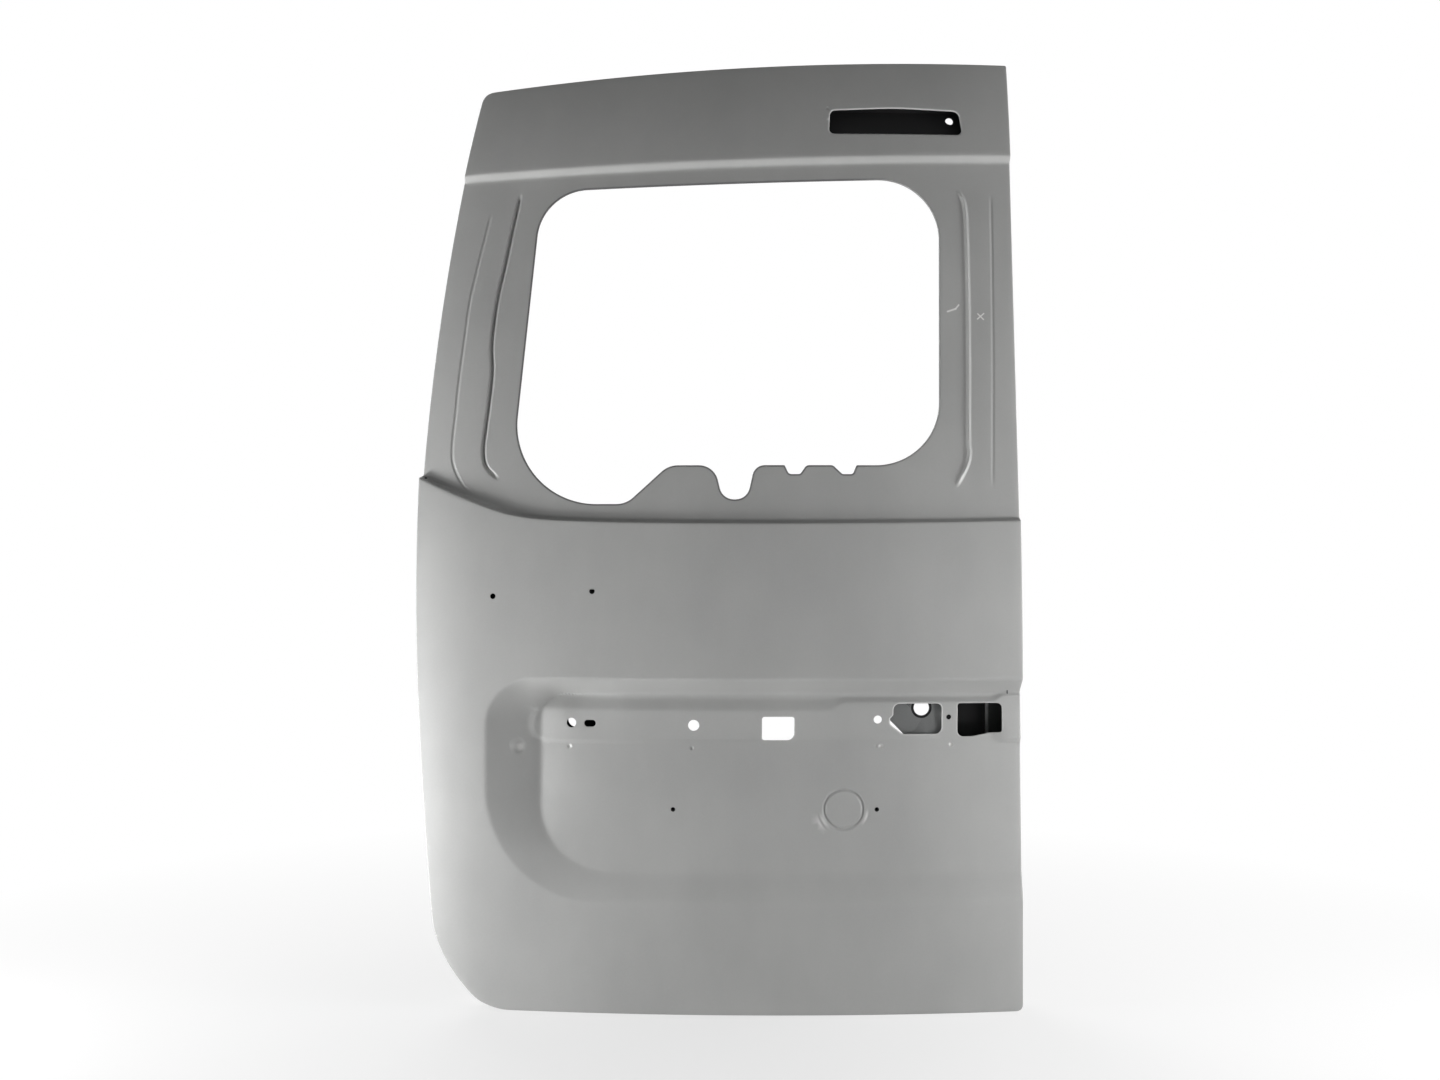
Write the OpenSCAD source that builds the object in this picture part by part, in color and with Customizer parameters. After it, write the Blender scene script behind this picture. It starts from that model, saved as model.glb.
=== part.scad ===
// Rear barn door of a small camper van: the bare left-hand door shell,
// a hemmed outer skin on a pressed inner panel, with its reinforcements.
// The outer face looks towards -Y, +Y runs into the vehicle, +X runs from the
// hinge edge to the meeting edge, and +Z is up.

/* [Overall size] */
// Height of the door at its meeting edge
door_h = 1180; // [1150:1:1220]
// From the datum line to the meeting edge
meeting_x = 367.5; // [360:0.5:375]
// From the datum line to the widest point of the hinge edge
hinge_x = 376; // [370:1:385]
// Height of the belt crease over the bottom edge
belt_h = 590; // [582:1:597]
// Height of the header at the meeting edge, from its crease to the top edge
header_h = 127; // [122:1:133]

/* [Sheet and hem] */
// Thickness of the outer skin
skin_t = 1; // [0.8:0.1:1.4]
// Thickness of the inner panel
panel_t = 1; // [0.8:0.1:1.4]
// Clearance between sheets that lie on each other
sheet_gap = 0.2; // [0.15:0.05:0.3]
// Width of the hem folded over the inner panel's flange
hem_w = 9; // [7:0.5:10]
// Width of the inner panel's flange along the edge of the door
flange_w = 12; // [11:0.5:14]
// Sideways run of the inner panel's side wall
wall_draft = 3; // [2:0.5:6]

/* [Shape of the face] */
// Radius of the face across the door
crown_r = 2500; // [2200:50:3500]
// Place of the foremost line of the face
crown_x = 72; // [60:1:90]
// Where the face turns in towards the hinge edge
turn_x = 290; // [280:1:310]
// Radius of that turn
turn_r = 400; // [300:10:600]
// Height where the lower face starts to lean back
lean_h = 378; // [360:1:400]
// Radius of the lean under the belt crease
lean_r = 1890; // [1700:10:2400]
// Depth of the window zone behind the lower face at the belt crease
belt_step = 9.5; // [6:0.5:12]
// Backward slope of the window zone
window_slope = 0.14; // [0.12:0.005:0.16]
// Depth of the window zone behind the header at the header crease
header_step = 8; // [5:0.5:10]
// Backward slope of the header at its crease
header_slope = 0.18; // [0.16:0.005:0.2]
// Radius of the header's own lean
header_r = 1100; // [900:20:1600]
// Height of the ledge at each crease
ledge_h = 5; // [4:0.5:7]

/* [Outline] */
// From the belt crease down to the widest point of the hinge edge
bulge_drop = 30; // [20:1:50]
// Radius of the hinge edge under the belt crease
lower_edge_r = 4600; // [4200:50:6000]
// Radius of the hinge edge over the belt crease
upper_edge_r = 3000; // [2900:50:3400]
// From the belt crease down to where the upper hinge edge starts to curve in
curve_in_drop = 110; // [90:1:122]
// Height of the large corner under the hinge edge
corner_h = 110; // [90:1:130]
// Radius of that corner
corner_r = 105; // [95:1:125]
// Height at which the corner meets the foot of the door
corner_v = 12; // [9:0.5:15]
// From the datum line to where the foot runs straight
foot_x = 256; // [240:1:270]
// Radius of the top edge
top_r = 6250; // [5000:50:8000]
// Fall of the header crease towards the hinge edge
header_fall = 0.034; // [0.02:0.002:0.04]
// Radius of the belt crease along its length
belt_r = 14500; // [12000:500:20000]
// Place where the belt crease is lowest
belt_x = 40; // [20:5:60]
// Further slope of the belt crease near the hinge edge
belt_slope = 0.42; // [0.3:0.01:0.5]
// From the datum line to where the belt crease turns up
belt_turn_x = 255; // [245:1:265]
// Roundness of that turn
belt_turn_r = 40; // [30:1:60]

/* [Plate recess] */
// Depth of the recess at its top
recess_top_d = 24; // [18:0.5:26]
// Depth of the recess at its bottom
recess_bottom_d = 8; // [4:0.5:12]
// Left end of the recess, from the datum line
recess_x = 288; // [280:1:295]
// From the belt crease down to the top of the recess
recess_drop = 185; // [177:1:192]
// Height of the recess
recess_h = 273; // [265:1:280]
// Width of the left wall
recess_side_w = 69; // [60:1:75]
// Width of the top wall
recess_top_w = 23; // [18:1:28]
// Width of the bottom wall
recess_bottom_w = 39; // [34:1:44]
// Left end of the handle pad, from the datum line
pad_x = 236; // [225:1:245]
// From the top of the recess down to the middle of the handle pad
pad_drop = 59; // [56:1:62]
// Height of the handle pad
pad_w = 34; // [30:1:38]
// Height of the pad over the floor of the recess
pad_t = 5; // [3:0.5:7]
// From the datum line to the middle of the number plate
plate_x = 66.5; // [60:0.5:72]
// Spacing of the two plate screws
plate_screw_pitch = 247; // [237:1:257]
// From the top of the recess down to the plate screws
plate_screw_drop = 160.5; // [153:0.5:168]
// Diameter of the plate screw holes
plate_screw_d = 5.6; // [5:0.2:6.5]

/* [Inner panel] */
// Depth of the inner panel behind the lower face
box_d = 56; // [52:1:60]
// Depth of the inner panel behind the window zone
frame_d = 36; // [32:1:42]
// Width of the flange round the window
window_flange_w = 15; // [13:1:17]
// Sideways run of the wall behind that flange
window_wall_w = 14; // [12:1:18]
// Width of each access opening
access_w = 125; // [110:1:130]
// Height of the access openings
access_h = 135; // [120:1:140]
// Height of their lower edge over the bottom edge
access_low = 65; // [55:1:75]
// Spacing of the access openings
access_pitch = 152; // [148:1:160]
// Width of the service opening
service_w = 250; // [220:1:260]
// Height of the service opening
service_h = 115; // [100:1:120]
// From the belt crease down to the top of the service opening
service_drop = 45; // [41:1:57]

/* [Window and lamp] */
// From the belt crease up to the window's lowest edge
window_low_gap = 25; // [22:1:30]
// From the belt crease up to the window's sill right of its ramp
sill_gap = 72.5; // [66:0.5:79]
// From the header crease down to the window's top edge
window_top_gap = 34.5; // [30:0.5:42]
// Left edge of the window at its foot, from the datum line
window_left = 261; // [256:1:266]
// Right edge of the window at its foot, from the datum line
window_right = 268; // [262:1:272]
// Left end of the stop-lamp slot
lamp_x = 137; // [130:1:150]
// Length of the stop-lamp slot
lamp_l = 168; // [150:1:172]
// From the header crease up to the stop-lamp slot
lamp_gap = 29; // [25:1:33]
// Height of the stop-lamp slot at its right end
lamp_w = 32; // [28:1:35]

/* [Handle and lead] */
// From the pad's middle up to the top of the handle and grip apertures
handle_rise = 26; // [24:0.5:28]
// Left end of the handle aperture
handle_x = 210.5; // [207:0.5:213]
// Length of the handle aperture
handle_l = 59.5; // [57:0.5:62]
// Height of the handle aperture
handle_w = 37; // [34:0.5:39]
// Left end of the grip aperture
grip_x = 289.5; // [286:0.5:292]
// Length of the grip aperture
grip_l = 55; // [50:0.5:56]
// Height of the grip aperture
grip_w = 40.5; // [38:0.5:42]
// Left end of the lead aperture
lead_x = 51; // [48:1:54]
// Length of the lead aperture
lead_l = 39; // [34:1:41]
// Height of the lead aperture
lead_w = 28.5; // [26:0.5:30]
// Left end of the trim slot, left of the datum line
trim_slot_x = 165.5; // [161:0.5:169]

/* [Hinges, lock and catches] */
// From the belt crease down to the middle of the upper hinge
upper_hinge_drop = 45; // [41:1:57]
// Height of the lower hinge
lower_hinge_h = 190; // [180:1:210]
// Length of a hinge plate
hinge_plate_l = 80; // [74:1:90]
// Width of a hinge plate
hinge_plate_w = 28; // [26:1:30]
// Thickness of a hinge plate at its thinnest
hinge_plate_t = 4; // [3:0.5:5]
// Spacing of the two hinge bolts
hinge_bolt_pitch = 50; // [44:1:54]
// Diameter of the hinge bolt holes
hinge_bolt_d = 9; // [8.5:0.1:10]
// Height of the check strap's plate
strap_h = 370; // [350:1:390]
// Length of the check strap's plate
strap_plate_l = 56; // [52:1:60]
// Width of the check strap's plate
strap_plate_w = 24; // [22:1:26]
// Thickness of the check strap's plate at its thinnest
strap_plate_t = 3; // [2.5:0.5:4]
// Spacing of the check strap's bolts
strap_bolt_pitch = 34; // [30:1:36]
// Diameter of the check strap's bolt holes
strap_bolt_d = 7; // [6.5:0.1:8]
// Height of the lock plate's centre
lock_h = 355; // [345:1:365]
// Length of the lock plate
lock_plate_l = 90; // [84:1:100]
// Width of the lock plate
lock_plate_w = 24; // [22:1:26]
// Thickness of the lock plate
lock_plate_t = 3; // [2.5:0.5:4]
// Spacing of the two lock bolts
lock_bolt_pitch = 60; // [54:1:64]
// Diameter of the lock bolt holes
lock_bolt_d = 7; // [6.5:0.1:8]
// From the meeting edge to the middle of the top and bottom catch plates
catch_inset = 90; // [80:1:110]
// Length of a catch plate
catch_plate_l = 60; // [54:1:70]
// Width of a catch plate
catch_plate_w = 18; // [16:1:20]
// Thickness of a catch plate at its thinnest
catch_plate_t = 3; // [2.5:0.5:4]
// Spacing of the two tapped holes in a catch plate
catch_bolt_pitch = 38; // [34:1:42]
// Diameter of those holes
catch_bolt_d = 5; // [4.8:0.1:6]
// Thickness of the reinforcements
stiffener_t = 1.5; // [1.2:0.1:2]

/* [Hidden] */

// Heights that follow from the sizes above
crease_h = door_h - header_h;
window_low = belt_h + window_low_gap;
sill_h = belt_h + sill_gap;
window_high = crease_h - window_top_gap;
lamp_h = crease_h + lamp_gap;
recess_top_h = belt_h - recess_drop;
recess_bottom_h = recess_top_h - recess_h;
pad_h = recess_top_h - pad_drop;
plate_screw_h = recess_top_h - plate_screw_drop;
upper_hinge_h = belt_h - upper_hinge_drop;

// Softened ramp that is 0 well below 0 and d well above it
function softened(d, r) = (d + sqrt(d * d + r * r)) / 2;

// Ramp from 0 to 1 with rounded ends
ease_end = 0.2;
function clamped(t) = min(1, max(0, t));
function eased(t) =
    t < ease_end ? t * t / (2 * ease_end * (1 - ease_end)) :
    t > 1 - ease_end ? 1 - (1 - t) * (1 - t) / (2 * ease_end * (1 - ease_end)) :
    (t - ease_end / 2) / (1 - ease_end);

function mixed(a, b, t) = a + (b - a) * t;
function unit(v) = v / norm(v);
function turned(v) = [-v[1], v[0]];
function shares(list) = [for (v = list) v / list[len(list) - 1]];
function spaced(a, b, n) = [for (k = [0:n]) a + (b - a) * k / n];
function between(a, b, list) = [for (t = list) mixed(a, b, t)];

// Lines of the door, as heights over x
function belt_line(x) =
    belt_h + pow(x - belt_x, 2) / (2 * belt_r) + belt_slope * softened(-belt_turn_x - x, belt_turn_r);
function header_line(x) = crease_h - header_fall * (meeting_x - x);
function top_line(x) = door_h - pow(meeting_x - x, 2) / (2 * top_r);

// Hinge edge, as x over the height
function lower_edge(z) =
    -hinge_x + pow(z - belt_h + bulge_drop, 2) / (2 * lower_edge_r)
    + pow(max(0, corner_h - z), 2) / (2 * corner_r);
function upper_edge(z) = -hinge_x + pow(z - belt_h + curve_in_drop, 2) / (2 * upper_edge_r);
foot_end = -foot_x - lower_edge(corner_v);
function foot_line(x) = corner_v * pow(max(0, -foot_x - x) / foot_end, 2);

// Depth of the face, as y over x and z
function plan_y(x) =
    pow(x - crown_x, 2) / (2 * crown_r) + pow(max(0, -turn_x - x), 2) / (2 * turn_r);
function lower_lean(z) = pow(max(0, z - lean_h), 2) / (2 * lean_r);
function window_lean(z) =
    lower_lean(belt_h) + belt_step + (z - belt_h) * window_slope;
function header_lean(z) =
    window_lean(crease_h) - header_step
    + (z - crease_h) * header_slope + pow(z - crease_h, 2) / (2 * header_r);

// Distance to a box open to the right with rounded corners on its left side
function open_box(x, z, left, low, high, low_r, high_r) =
    let (r = z < (low + high) / 2 ? low_r : high_r,
         qx = left + r - x,
         qz = abs(z - (low + high) / 2) - (high - low) / 2 + r)
    norm([max(qx, 0), max(qz, 0)]) + min(max(qx, qz), 0) - r;

// Radii of the recess at its bottom and top, outside and at its floor
recess_outer_low_r = 138;
recess_outer_high_r = 60;
recess_inner_low_r = 82;
recess_inner_high_r = 32;
function recess_depth(x, z) =
    let (out = -open_box(x, z, -recess_x, recess_bottom_h, recess_top_h,
                         recess_outer_low_r, recess_outer_high_r),
         in = open_box(x, z, -recess_x + recess_side_w,
                       recess_bottom_h + recess_bottom_w, recess_top_h - recess_top_w,
                       recess_inner_low_r, recess_inner_high_r),
         share = clamped((z - recess_bottom_h) / recess_h))
    out <= 0 ? 0 :
    (recess_bottom_d + (recess_top_d - recess_bottom_d) * share)
    * eased(clamped(out / (out + max(in, 0))));

pad_edge = 8;
pad_corner_r = 10;
pad_low_h = pad_h - pad_w / 2;
pad_high_h = pad_h + pad_w / 2;
function pad_height(x, z) =
    let (d = open_box(x, z, -pad_x, pad_low_h, pad_high_h, pad_corner_r, pad_corner_r))
    pad_t * eased(clamped(1 - d / pad_edge));

function skin_y(x, z, zone) =
    plan_y(x)
    + (zone == 0 ? lower_lean(z) + recess_depth(x, z) - pad_height(x, z) :
       zone == 1 ? window_lean(z) : header_lean(z));

// Grid over the door: columns from hinge to meeting edge, rows per zone
door_w = meeting_x + hinge_x;
wall_w = flange_w + wall_draft;
col_shares = [0.054, 0.084, 0.11, 0.137, 0.16, 0.183, 0.204, 0.237, 0.277, 0.325, 0.379,
              0.433, 0.487, 0.541, 0.595, 0.65, 0.704, 0.751, 0.798, 0.836, 0.873, 0.897,
              0.917, 0.947];
cols = concat([0, flange_w / door_w, wall_w / door_w], col_shares,
              [1 - wall_w / door_w, 1 - flange_w / door_w, 1]);

recess_floor_h = recess_bottom_h + recess_bottom_w;
recess_ceiling_h = recess_top_h - recess_top_w;
lower_rows = concat(
    [0, flange_w],
    between(wall_w, recess_bottom_h, [0, 0.21, 0.51, 0.77]),
    between(recess_bottom_h, recess_floor_h, [0, 1 / 3, 2 / 3, 1]),
    between(recess_floor_h, pad_low_h - pad_edge, [0.16, 0.35, 0.58, 0.81, 1]),
    [pad_low_h, pad_high_h],
    between(pad_high_h, recess_ceiling_h, [0.56, 1]),
    between(recess_ceiling_h, recess_top_h, [1 / 3, 2 / 3, 1]),
    between(recess_top_h, belt_h, [0.13, 0.35, 0.56, 0.745, 0.88, 0.95, 1]));
window_shares = [0, 0.009, 0.038, 0.09, 0.143, 0.206, 0.296, 0.408, 0.52, 0.632, 0.733,
                 0.812, 0.868, 0.908, 0.946, 0.978, 1];
header_shares = [0, 0.092, 0.26, 0.504, 0.702];
header_top = header_h - ledge_h;
zone_rows = [shares(lower_rows), window_shares,
             concat(header_shares, [1 - wall_w / header_top, 1 - flange_w / header_top, 1])];

// Patch between four curves: bottom, top, left and right
function left_belt(n) = n == 0 ? belt_h : belt_line(lower_edge(left_belt(n - 1)));
function left_header(n) = n == 0 ? crease_h : header_line(upper_edge(left_header(n - 1)));
function left_top(n) = n == 0 ? door_h : top_line(upper_edge(left_top(n - 1)));
steps = 6;
zone_left = [[corner_v, left_belt(steps)],
             [left_belt(steps) + ledge_h, left_header(steps) - ledge_h / 2],
             [left_header(steps) + ledge_h / 2, left_top(steps)]];
function zone_edge(zone, z) = zone == 0 ? lower_edge(z) : upper_edge(z);
function zone_low(zone, x) =
    zone == 0 ? foot_line(x) : zone == 1 ? belt_line(x) + ledge_h : header_line(x) + ledge_h / 2;
function zone_high(zone, x) =
    zone == 0 ? belt_line(x) : zone == 1 ? header_line(x) - ledge_h / 2 : top_line(x);

function patch_point(zone, s, t) =
    let (zl = zone_left[zone],
         z_left = mixed(zl[0], zl[1], t),
         left = [zone_edge(zone, z_left), z_left],
         z_right = mixed(zone_low(zone, meeting_x), zone_high(zone, meeting_x), t),
         right = [meeting_x, z_right],
         x_low = mixed(zone_edge(zone, zl[0]), meeting_x, s),
         low = [x_low, zone_low(zone, x_low)],
         x_high = mixed(zone_edge(zone, zl[1]), meeting_x, s),
         high = [x_high, zone_high(zone, x_high)],
         c00 = [zone_edge(zone, zl[0]), zl[0]],
         c01 = [zone_edge(zone, zl[1]), zl[1]],
         c10 = [meeting_x, zone_low(zone, meeting_x)],
         c11 = [meeting_x, zone_high(zone, meeting_x)])
    mixed(left, right, s) + mixed(low, high, t)
    - mixed(mixed(c00, c10, s), mixed(c01, c11, s), t);

grid = [for (zone = [0:2]) for (t = zone_rows[zone])
        [for (s = cols) let (p = patch_point(zone, s, t)) [p[0], p[1], zone]]];
rows_n = len(grid);
cols_n = len(cols);

// Indices of the rim, going round the grid
rim = concat([for (i = [0:cols_n - 1]) [0, i]],
             [for (j = [1:rows_n - 1]) [j, cols_n - 1]],
             [for (i = [cols_n - 2:-1:0]) [rows_n - 1, i]],
             [for (j = [rows_n - 2:-1:1]) [j, 0]]);
rim_n = len(rim);

// Inward direction at each rim point, long enough to keep the sheet's width
function rim_xz(k) = let (p = rim[(k + rim_n) % rim_n]) [grid[p[0]][p[1]][0], grid[p[0]][p[1]][1]];
function rim_inward(k) =
    let (a = turned(unit(rim_xz(k) - rim_xz(k - 1))),
         b = turned(unit(rim_xz(k + 1) - rim_xz(k))))
    (a + b) / (1 + a * b);
rim_in = [for (k = [0:rim_n - 1]) rim_inward(k)];

function is_rim(j, i) = j == 0 || i == 0 || j == rows_n - 1 || i == cols_n - 1;
function rim_index(j, i) =
    j == 0 ? i :
    i == cols_n - 1 ? cols_n - 1 + j :
    j == rows_n - 1 ? cols_n + rows_n - 2 + (cols_n - 1 - i) :
    2 * cols_n + rows_n - 3 + (rows_n - 1 - j);
function inset_xz(j, i, d) =
    let (p = grid[j][i])
    is_rim(j, i) ? [p[0], p[1]] + d * rim_in[rim_index(j, i)] : [p[0], p[1]];

// Faces of a grid sheet whose rim runs over extra loops of points
function at(j, i) = j * cols_n + i;
function rim_at(k) = let (p = rim[(k + rim_n) % rim_n]) at(p[0], p[1]);
function front_faces() =
    [for (j = [0:rows_n - 2]) for (i = [0:cols_n - 2]) each
        [[at(j, i), at(j + 1, i), at(j + 1, i + 1)], [at(j, i), at(j + 1, i + 1), at(j, i + 1)]]];
function back_faces(base) =
    [for (j = [0:rows_n - 2]) for (i = [0:cols_n - 2]) each
        [[base + at(j, i), base + at(j + 1, i + 1), base + at(j + 1, i)],
         [base + at(j, i), base + at(j, i + 1), base + at(j + 1, i + 1)]]];
function band(a, b) =
    [for (k = [0:rim_n - 1]) let (n = (k + 1) % rim_n) each
        [[a[k], a[n], b[n]], [a[k], b[n], b[k]]]];

module sheet(front, back, loops) {
    base = rows_n * cols_n;
    points = concat([for (r = front) each r], [for (r = back) each r], [for (l = loops) each l]);
    ring_front = [for (k = [0:rim_n - 1]) rim_at(k)];
    ring_back = [for (k = [0:rim_n - 1]) base + rim_at(k)];
    ring_loops = [for (l = [0:1:len(loops) - 1]) [for (k = [0:rim_n - 1]) 2 * base + l * rim_n + k]];
    rings = concat([ring_front], ring_loops, [ring_back]);
    polyhedron(points, concat(front_faces(), back_faces(base),
                              [for (l = [0:len(rings) - 2]) each band(rings[l], rings[l + 1])]));
}

// Outline with a rounded corner at each point [x, z, radius]
function corner_arc(p, q, s, n) =
    let (a = unit([p[0] - q[0], p[1] - q[1]]),
         b = unit([s[0] - q[0], s[1] - q[1]]),
         half = acos(a * b) / 2,
         centre = [q[0], q[1]] + unit(a + b) * q[2] / sin(half),
         start = [q[0], q[1]] + a * q[2] / tan(half) - centre,
         stop = [q[0], q[1]] + b * q[2] / tan(half) - centre,
         from = atan2(start[1], start[0]),
         raw = atan2(stop[1], stop[0]) - from,
         sweep = raw > 180 ? raw - 360 : raw < -180 ? raw + 360 : raw)
    [for (k = [0:n]) centre + q[2] * [cos(from + sweep * k / n), sin(from + sweep * k / n)]];
arc_steps = 8;
function rounded(outline) =
    let (m = len(outline))
    [for (i = [0:m - 1])
        each corner_arc(outline[(i + m - 1) % m], outline[i], outline[(i + 1) % m], arc_steps)];
function box_outline(x, z, w, h, r) =
    [[x, z, r], [x + w, z, r], [x + w, z + h, r], [x, z + h, r]];

window_left_slope = 0.089;
window_right_slope = 0.02;
window_top_slope = 0.028;
function window_left_x(z) = -window_left + window_left_slope * (z - window_low);
function window_right_x(z) = window_right + window_right_slope * (z - window_low);
function window_top_z(x) = window_high + window_top_slope * x;
// The sill has one deep dip and two notches, each given by its left and right end
ramp_from_x = -115;
ramp_to_x = -63;
dip_h = window_low + 5.5;
dip_from_x = -7;
dip_to_x = 42.5;
notch_h = sill_h - 11;
left_notch = [[79, sill_h, 2], [84, notch_h, 5], [98, notch_h, 4], [105.5, sill_h, 7]];
right_notch = [[138, sill_h, 6], [149.5, notch_h, 5], [162.5, notch_h, 4], [167, sill_h, 2]];
window_outline = concat(
    [[window_left_x(window_low), window_low, 100], [ramp_from_x, window_low, 30],
     [ramp_to_x, sill_h, 30], [dip_from_x, sill_h, 24], [dip_from_x + 10, dip_h, 17.5],
     [dip_to_x - 9.5, dip_h, 17.5], [dip_to_x, sill_h, 15]],
    left_notch, right_notch,
    [[window_right_x(sill_h), sill_h, 80],
     [window_right_x(window_high), window_top_z(window_right), 75],
     [window_left_x(window_high), window_top_z(-window_left), 65]]);

// Distance to the window's plain outline, without its ramp and dips
window_corner_r = 80;
function window_distance(x, z) =
    let (left = window_left_x(z),
         right = window_right_x(z),
         high = window_top_z(x),
         r = window_corner_r,
         qx = abs(x - (left + right) / 2) - (right - left) / 2 + r,
         qz = abs(z - (window_low + high) / 2) - (high - window_low) / 2 + r)
    norm([max(qx, 0), max(qz, 0)]) + min(max(qx, qz), 0) - r;

lamp_rise = 3;
lamp_end_x = lamp_x + lamp_l;
lamp_outline = [
    [lamp_x, lamp_h, 6], [lamp_end_x + 1, lamp_h + 1, 6], [lamp_end_x - 3, lamp_h + lamp_w, 9],
    [lamp_x + lamp_l / 2, lamp_h + lamp_w + lamp_rise, 500], [lamp_x + 2, lamp_h + lamp_w - 1, 7]];
handle_top = pad_h + handle_rise;
handle_low = handle_top - handle_w;
handle_end_x = handle_x + handle_l;
handle_outline = [[handle_x, handle_top, 8], [handle_end_x, handle_top, 6],
                  [handle_end_x, handle_low, 8], [handle_x + 18, handle_low, 8],
                  [handle_x, handle_top - 15, 8]];
grip_end_x = grip_x + grip_l;
grip_low = handle_top - grip_w;
grip_outline = [[grip_x, handle_top, 4], [grip_end_x, handle_top, 5], [grip_end_x, grip_low + 5, 5],
                [grip_x + 36.5, grip_low + 5, 3], [grip_x + 33.5, grip_low, 3], [grip_x, grip_low, 5]];
lead_top = pad_h + 10.5;
lead_outline = [[lead_x, lead_top, 3], [lead_x + lead_l, lead_top, 3],
                [lead_x + lead_l, lead_top - lead_w, 9], [lead_x, lead_top - lead_w, 3]];
trim_slot_outline = box_outline(-trim_slot_x, pad_h - 2.5, 14, 8, 3.9);
// Round holes of the skin as [x, z, diameter]
skin_holes = [[-277, belt_h - 87.5, 6.8], [-155, belt_h - 81, 6.8], [-181.5, pad_h + 2, 11.8],
              [-32, pad_h, 13.6], [191.5, pad_h + 7, 10], [278.5, pad_h + 9.5, 6.2]];
plate_screws = [for (side = [-1, 1]) plate_x + side * plate_screw_pitch / 2];

// Cutters running along Y
cut_y = -50;
cut_depth = 300;
module cut_outline(outline)
    translate([0, cut_y + cut_depth, 0])
        rotate([90, 0, 0])
            linear_extrude(cut_depth) polygon(rounded(outline));
module drill_y(x, z, d)
    translate([x, cut_y + cut_depth, z])
        rotate([90, 0, 0])
            cylinder(h = cut_depth, d = d, $fn = 48);

// Point of the skin's grid, set in from the rim by d and moved back by dy
function skin_point(j, i, d, dy) =
    let (p = inset_xz(j, i, d)) [p[0], skin_y(grid[j][i][0], grid[j][i][1], grid[j][i][2]) + dy, p[1]];

// Points of a grid surface moved back square to the surface by t
function grid_tangent(p, q, s) = unit(q - p) + unit(s - q);
function moved_back(pts, j, i, t) =
    let (across = grid_tangent(pts[j][i - 1], pts[j][i], pts[j][i + 1]),
         up = grid_tangent(pts[j - 1][i], pts[j][i], pts[j + 1][i]),
         n = unit(cross(up, across)))
    pts[j][i] + n * t * 4 / (norm(across) * norm(up));

hem_y = skin_t + 2 * sheet_gap + panel_t;
skin_front = [for (j = [0:rows_n - 1]) [for (i = [0:cols_n - 1]) skin_point(j, i, 0, 0)]];
skin_back = [for (j = [0:rows_n - 1]) [for (i = [0:cols_n - 1])
    is_rim(j, i) ? skin_point(j, i, skin_t, skin_t) : moved_back(skin_front, j, i, skin_t)]];
module outer_skin() {
    loops = [for (l = [[0, hem_y + skin_t], [hem_w, hem_y + skin_t], [hem_w, hem_y], [skin_t, hem_y]])
             [for (p = rim) skin_point(p[0], p[1], l[0], l[1])]];
    color([0.62, 0.62, 0.61])
        difference() {
            sheet(skin_front, skin_back, loops);
            cut_outline(window_outline);
            cut_outline(lamp_outline);
            cut_outline(handle_outline);
            cut_outline(grip_outline);
            cut_outline(lead_outline);
            cut_outline(trim_slot_outline);
            for (h = skin_holes) drill_y(h[0], h[1], h[2]);
            for (x = plate_screws) drill_y(x, plate_screw_h, plate_screw_d);
        }
}

// Depth of the inner panel's main face, which steps forward round the belt crease
frame_start = belt_h - 30;
frame_end = belt_h + 50;
function panel_face(x, z) =
    plan_y(x) + mixed(box_d + lower_lean(z), frame_d + window_lean(z),
                      clamped((z - frame_start) / (frame_end - frame_start)));
function on_flange(j, i) = min(i, cols_n - 1 - i, j, rows_n - 1 - j) < 2;
function panel_point(j, i) =
    let (g = grid[j][i],
         p = inset_xz(j, i, skin_t + sheet_gap),
         flange = skin_y(g[0], g[1], g[2]) + skin_t + sheet_gap,
         share = (window_distance(g[0], g[1]) - window_flange_w) / window_wall_w)
    [p[0], on_flange(j, i) ? flange : mixed(flange, panel_face(g[0], g[1]), clamped(share)), p[1]];
panel_front = [for (j = [0:rows_n - 1]) [for (i = [0:cols_n - 1]) panel_point(j, i)]];
panel_back = [for (j = [0:rows_n - 1]) [for (i = [0:cols_n - 1])
    is_rim(j, i) ? panel_front[j][i] + [0, panel_t, 0] : moved_back(panel_front, j, i, panel_t)]];

// The lock and lead openings reach round the apertures of the skin
lock_opening = box_outline(handle_x - 27, pad_h - 31, 82, 68, 12);
lead_opening = box_outline(lead_x - 11, lead_top - lead_w - 19, lead_l + 26, lead_w + 25.5, 8);
service_x = -15;
service_opening = box_outline(service_x - service_w / 2, belt_h - service_drop - service_h,
                              service_w, service_h, 30);
function access_opening(k) =
    box_outline(k * access_pitch - access_w / 2, access_low, access_w, access_h, 25);
// Round holes of the inner panel as [x, z, diameter]
panel_holes = [[-180, pad_h + 1.5, 18], [-33, pad_h - 6, 30], [lamp_end_x - 7, lamp_h + 34, 16]];

module inner_panel() {
    color([0.55, 0.55, 0.54])
        difference() {
            sheet(panel_front, panel_back, []);
            cut_outline(window_outline);
            cut_outline(lock_opening);
            cut_outline(lead_opening);
            cut_outline(service_opening);
            for (k = [-1:1]) cut_outline(access_opening(k));
            for (h = panel_holes) drill_y(h[0], h[1], h[2]);
            hinge_bores(upper_hinge_h, upper_hinge_y, hinge_bolt_d + bore_clear);
            hinge_bores(lower_hinge_h, lower_hinge_y, hinge_bolt_d + bore_clear);
            strap_bores(strap_bolt_d + bore_clear);
            lock_bores(lock_bolt_d + bore_clear);
            catch_bores(top_catch_z, top_catch_y, catch_bolt_d + bore_clear);
            catch_bores(bottom_catch_z, bottom_catch_y, catch_bolt_d + bore_clear);
        }
}

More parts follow.
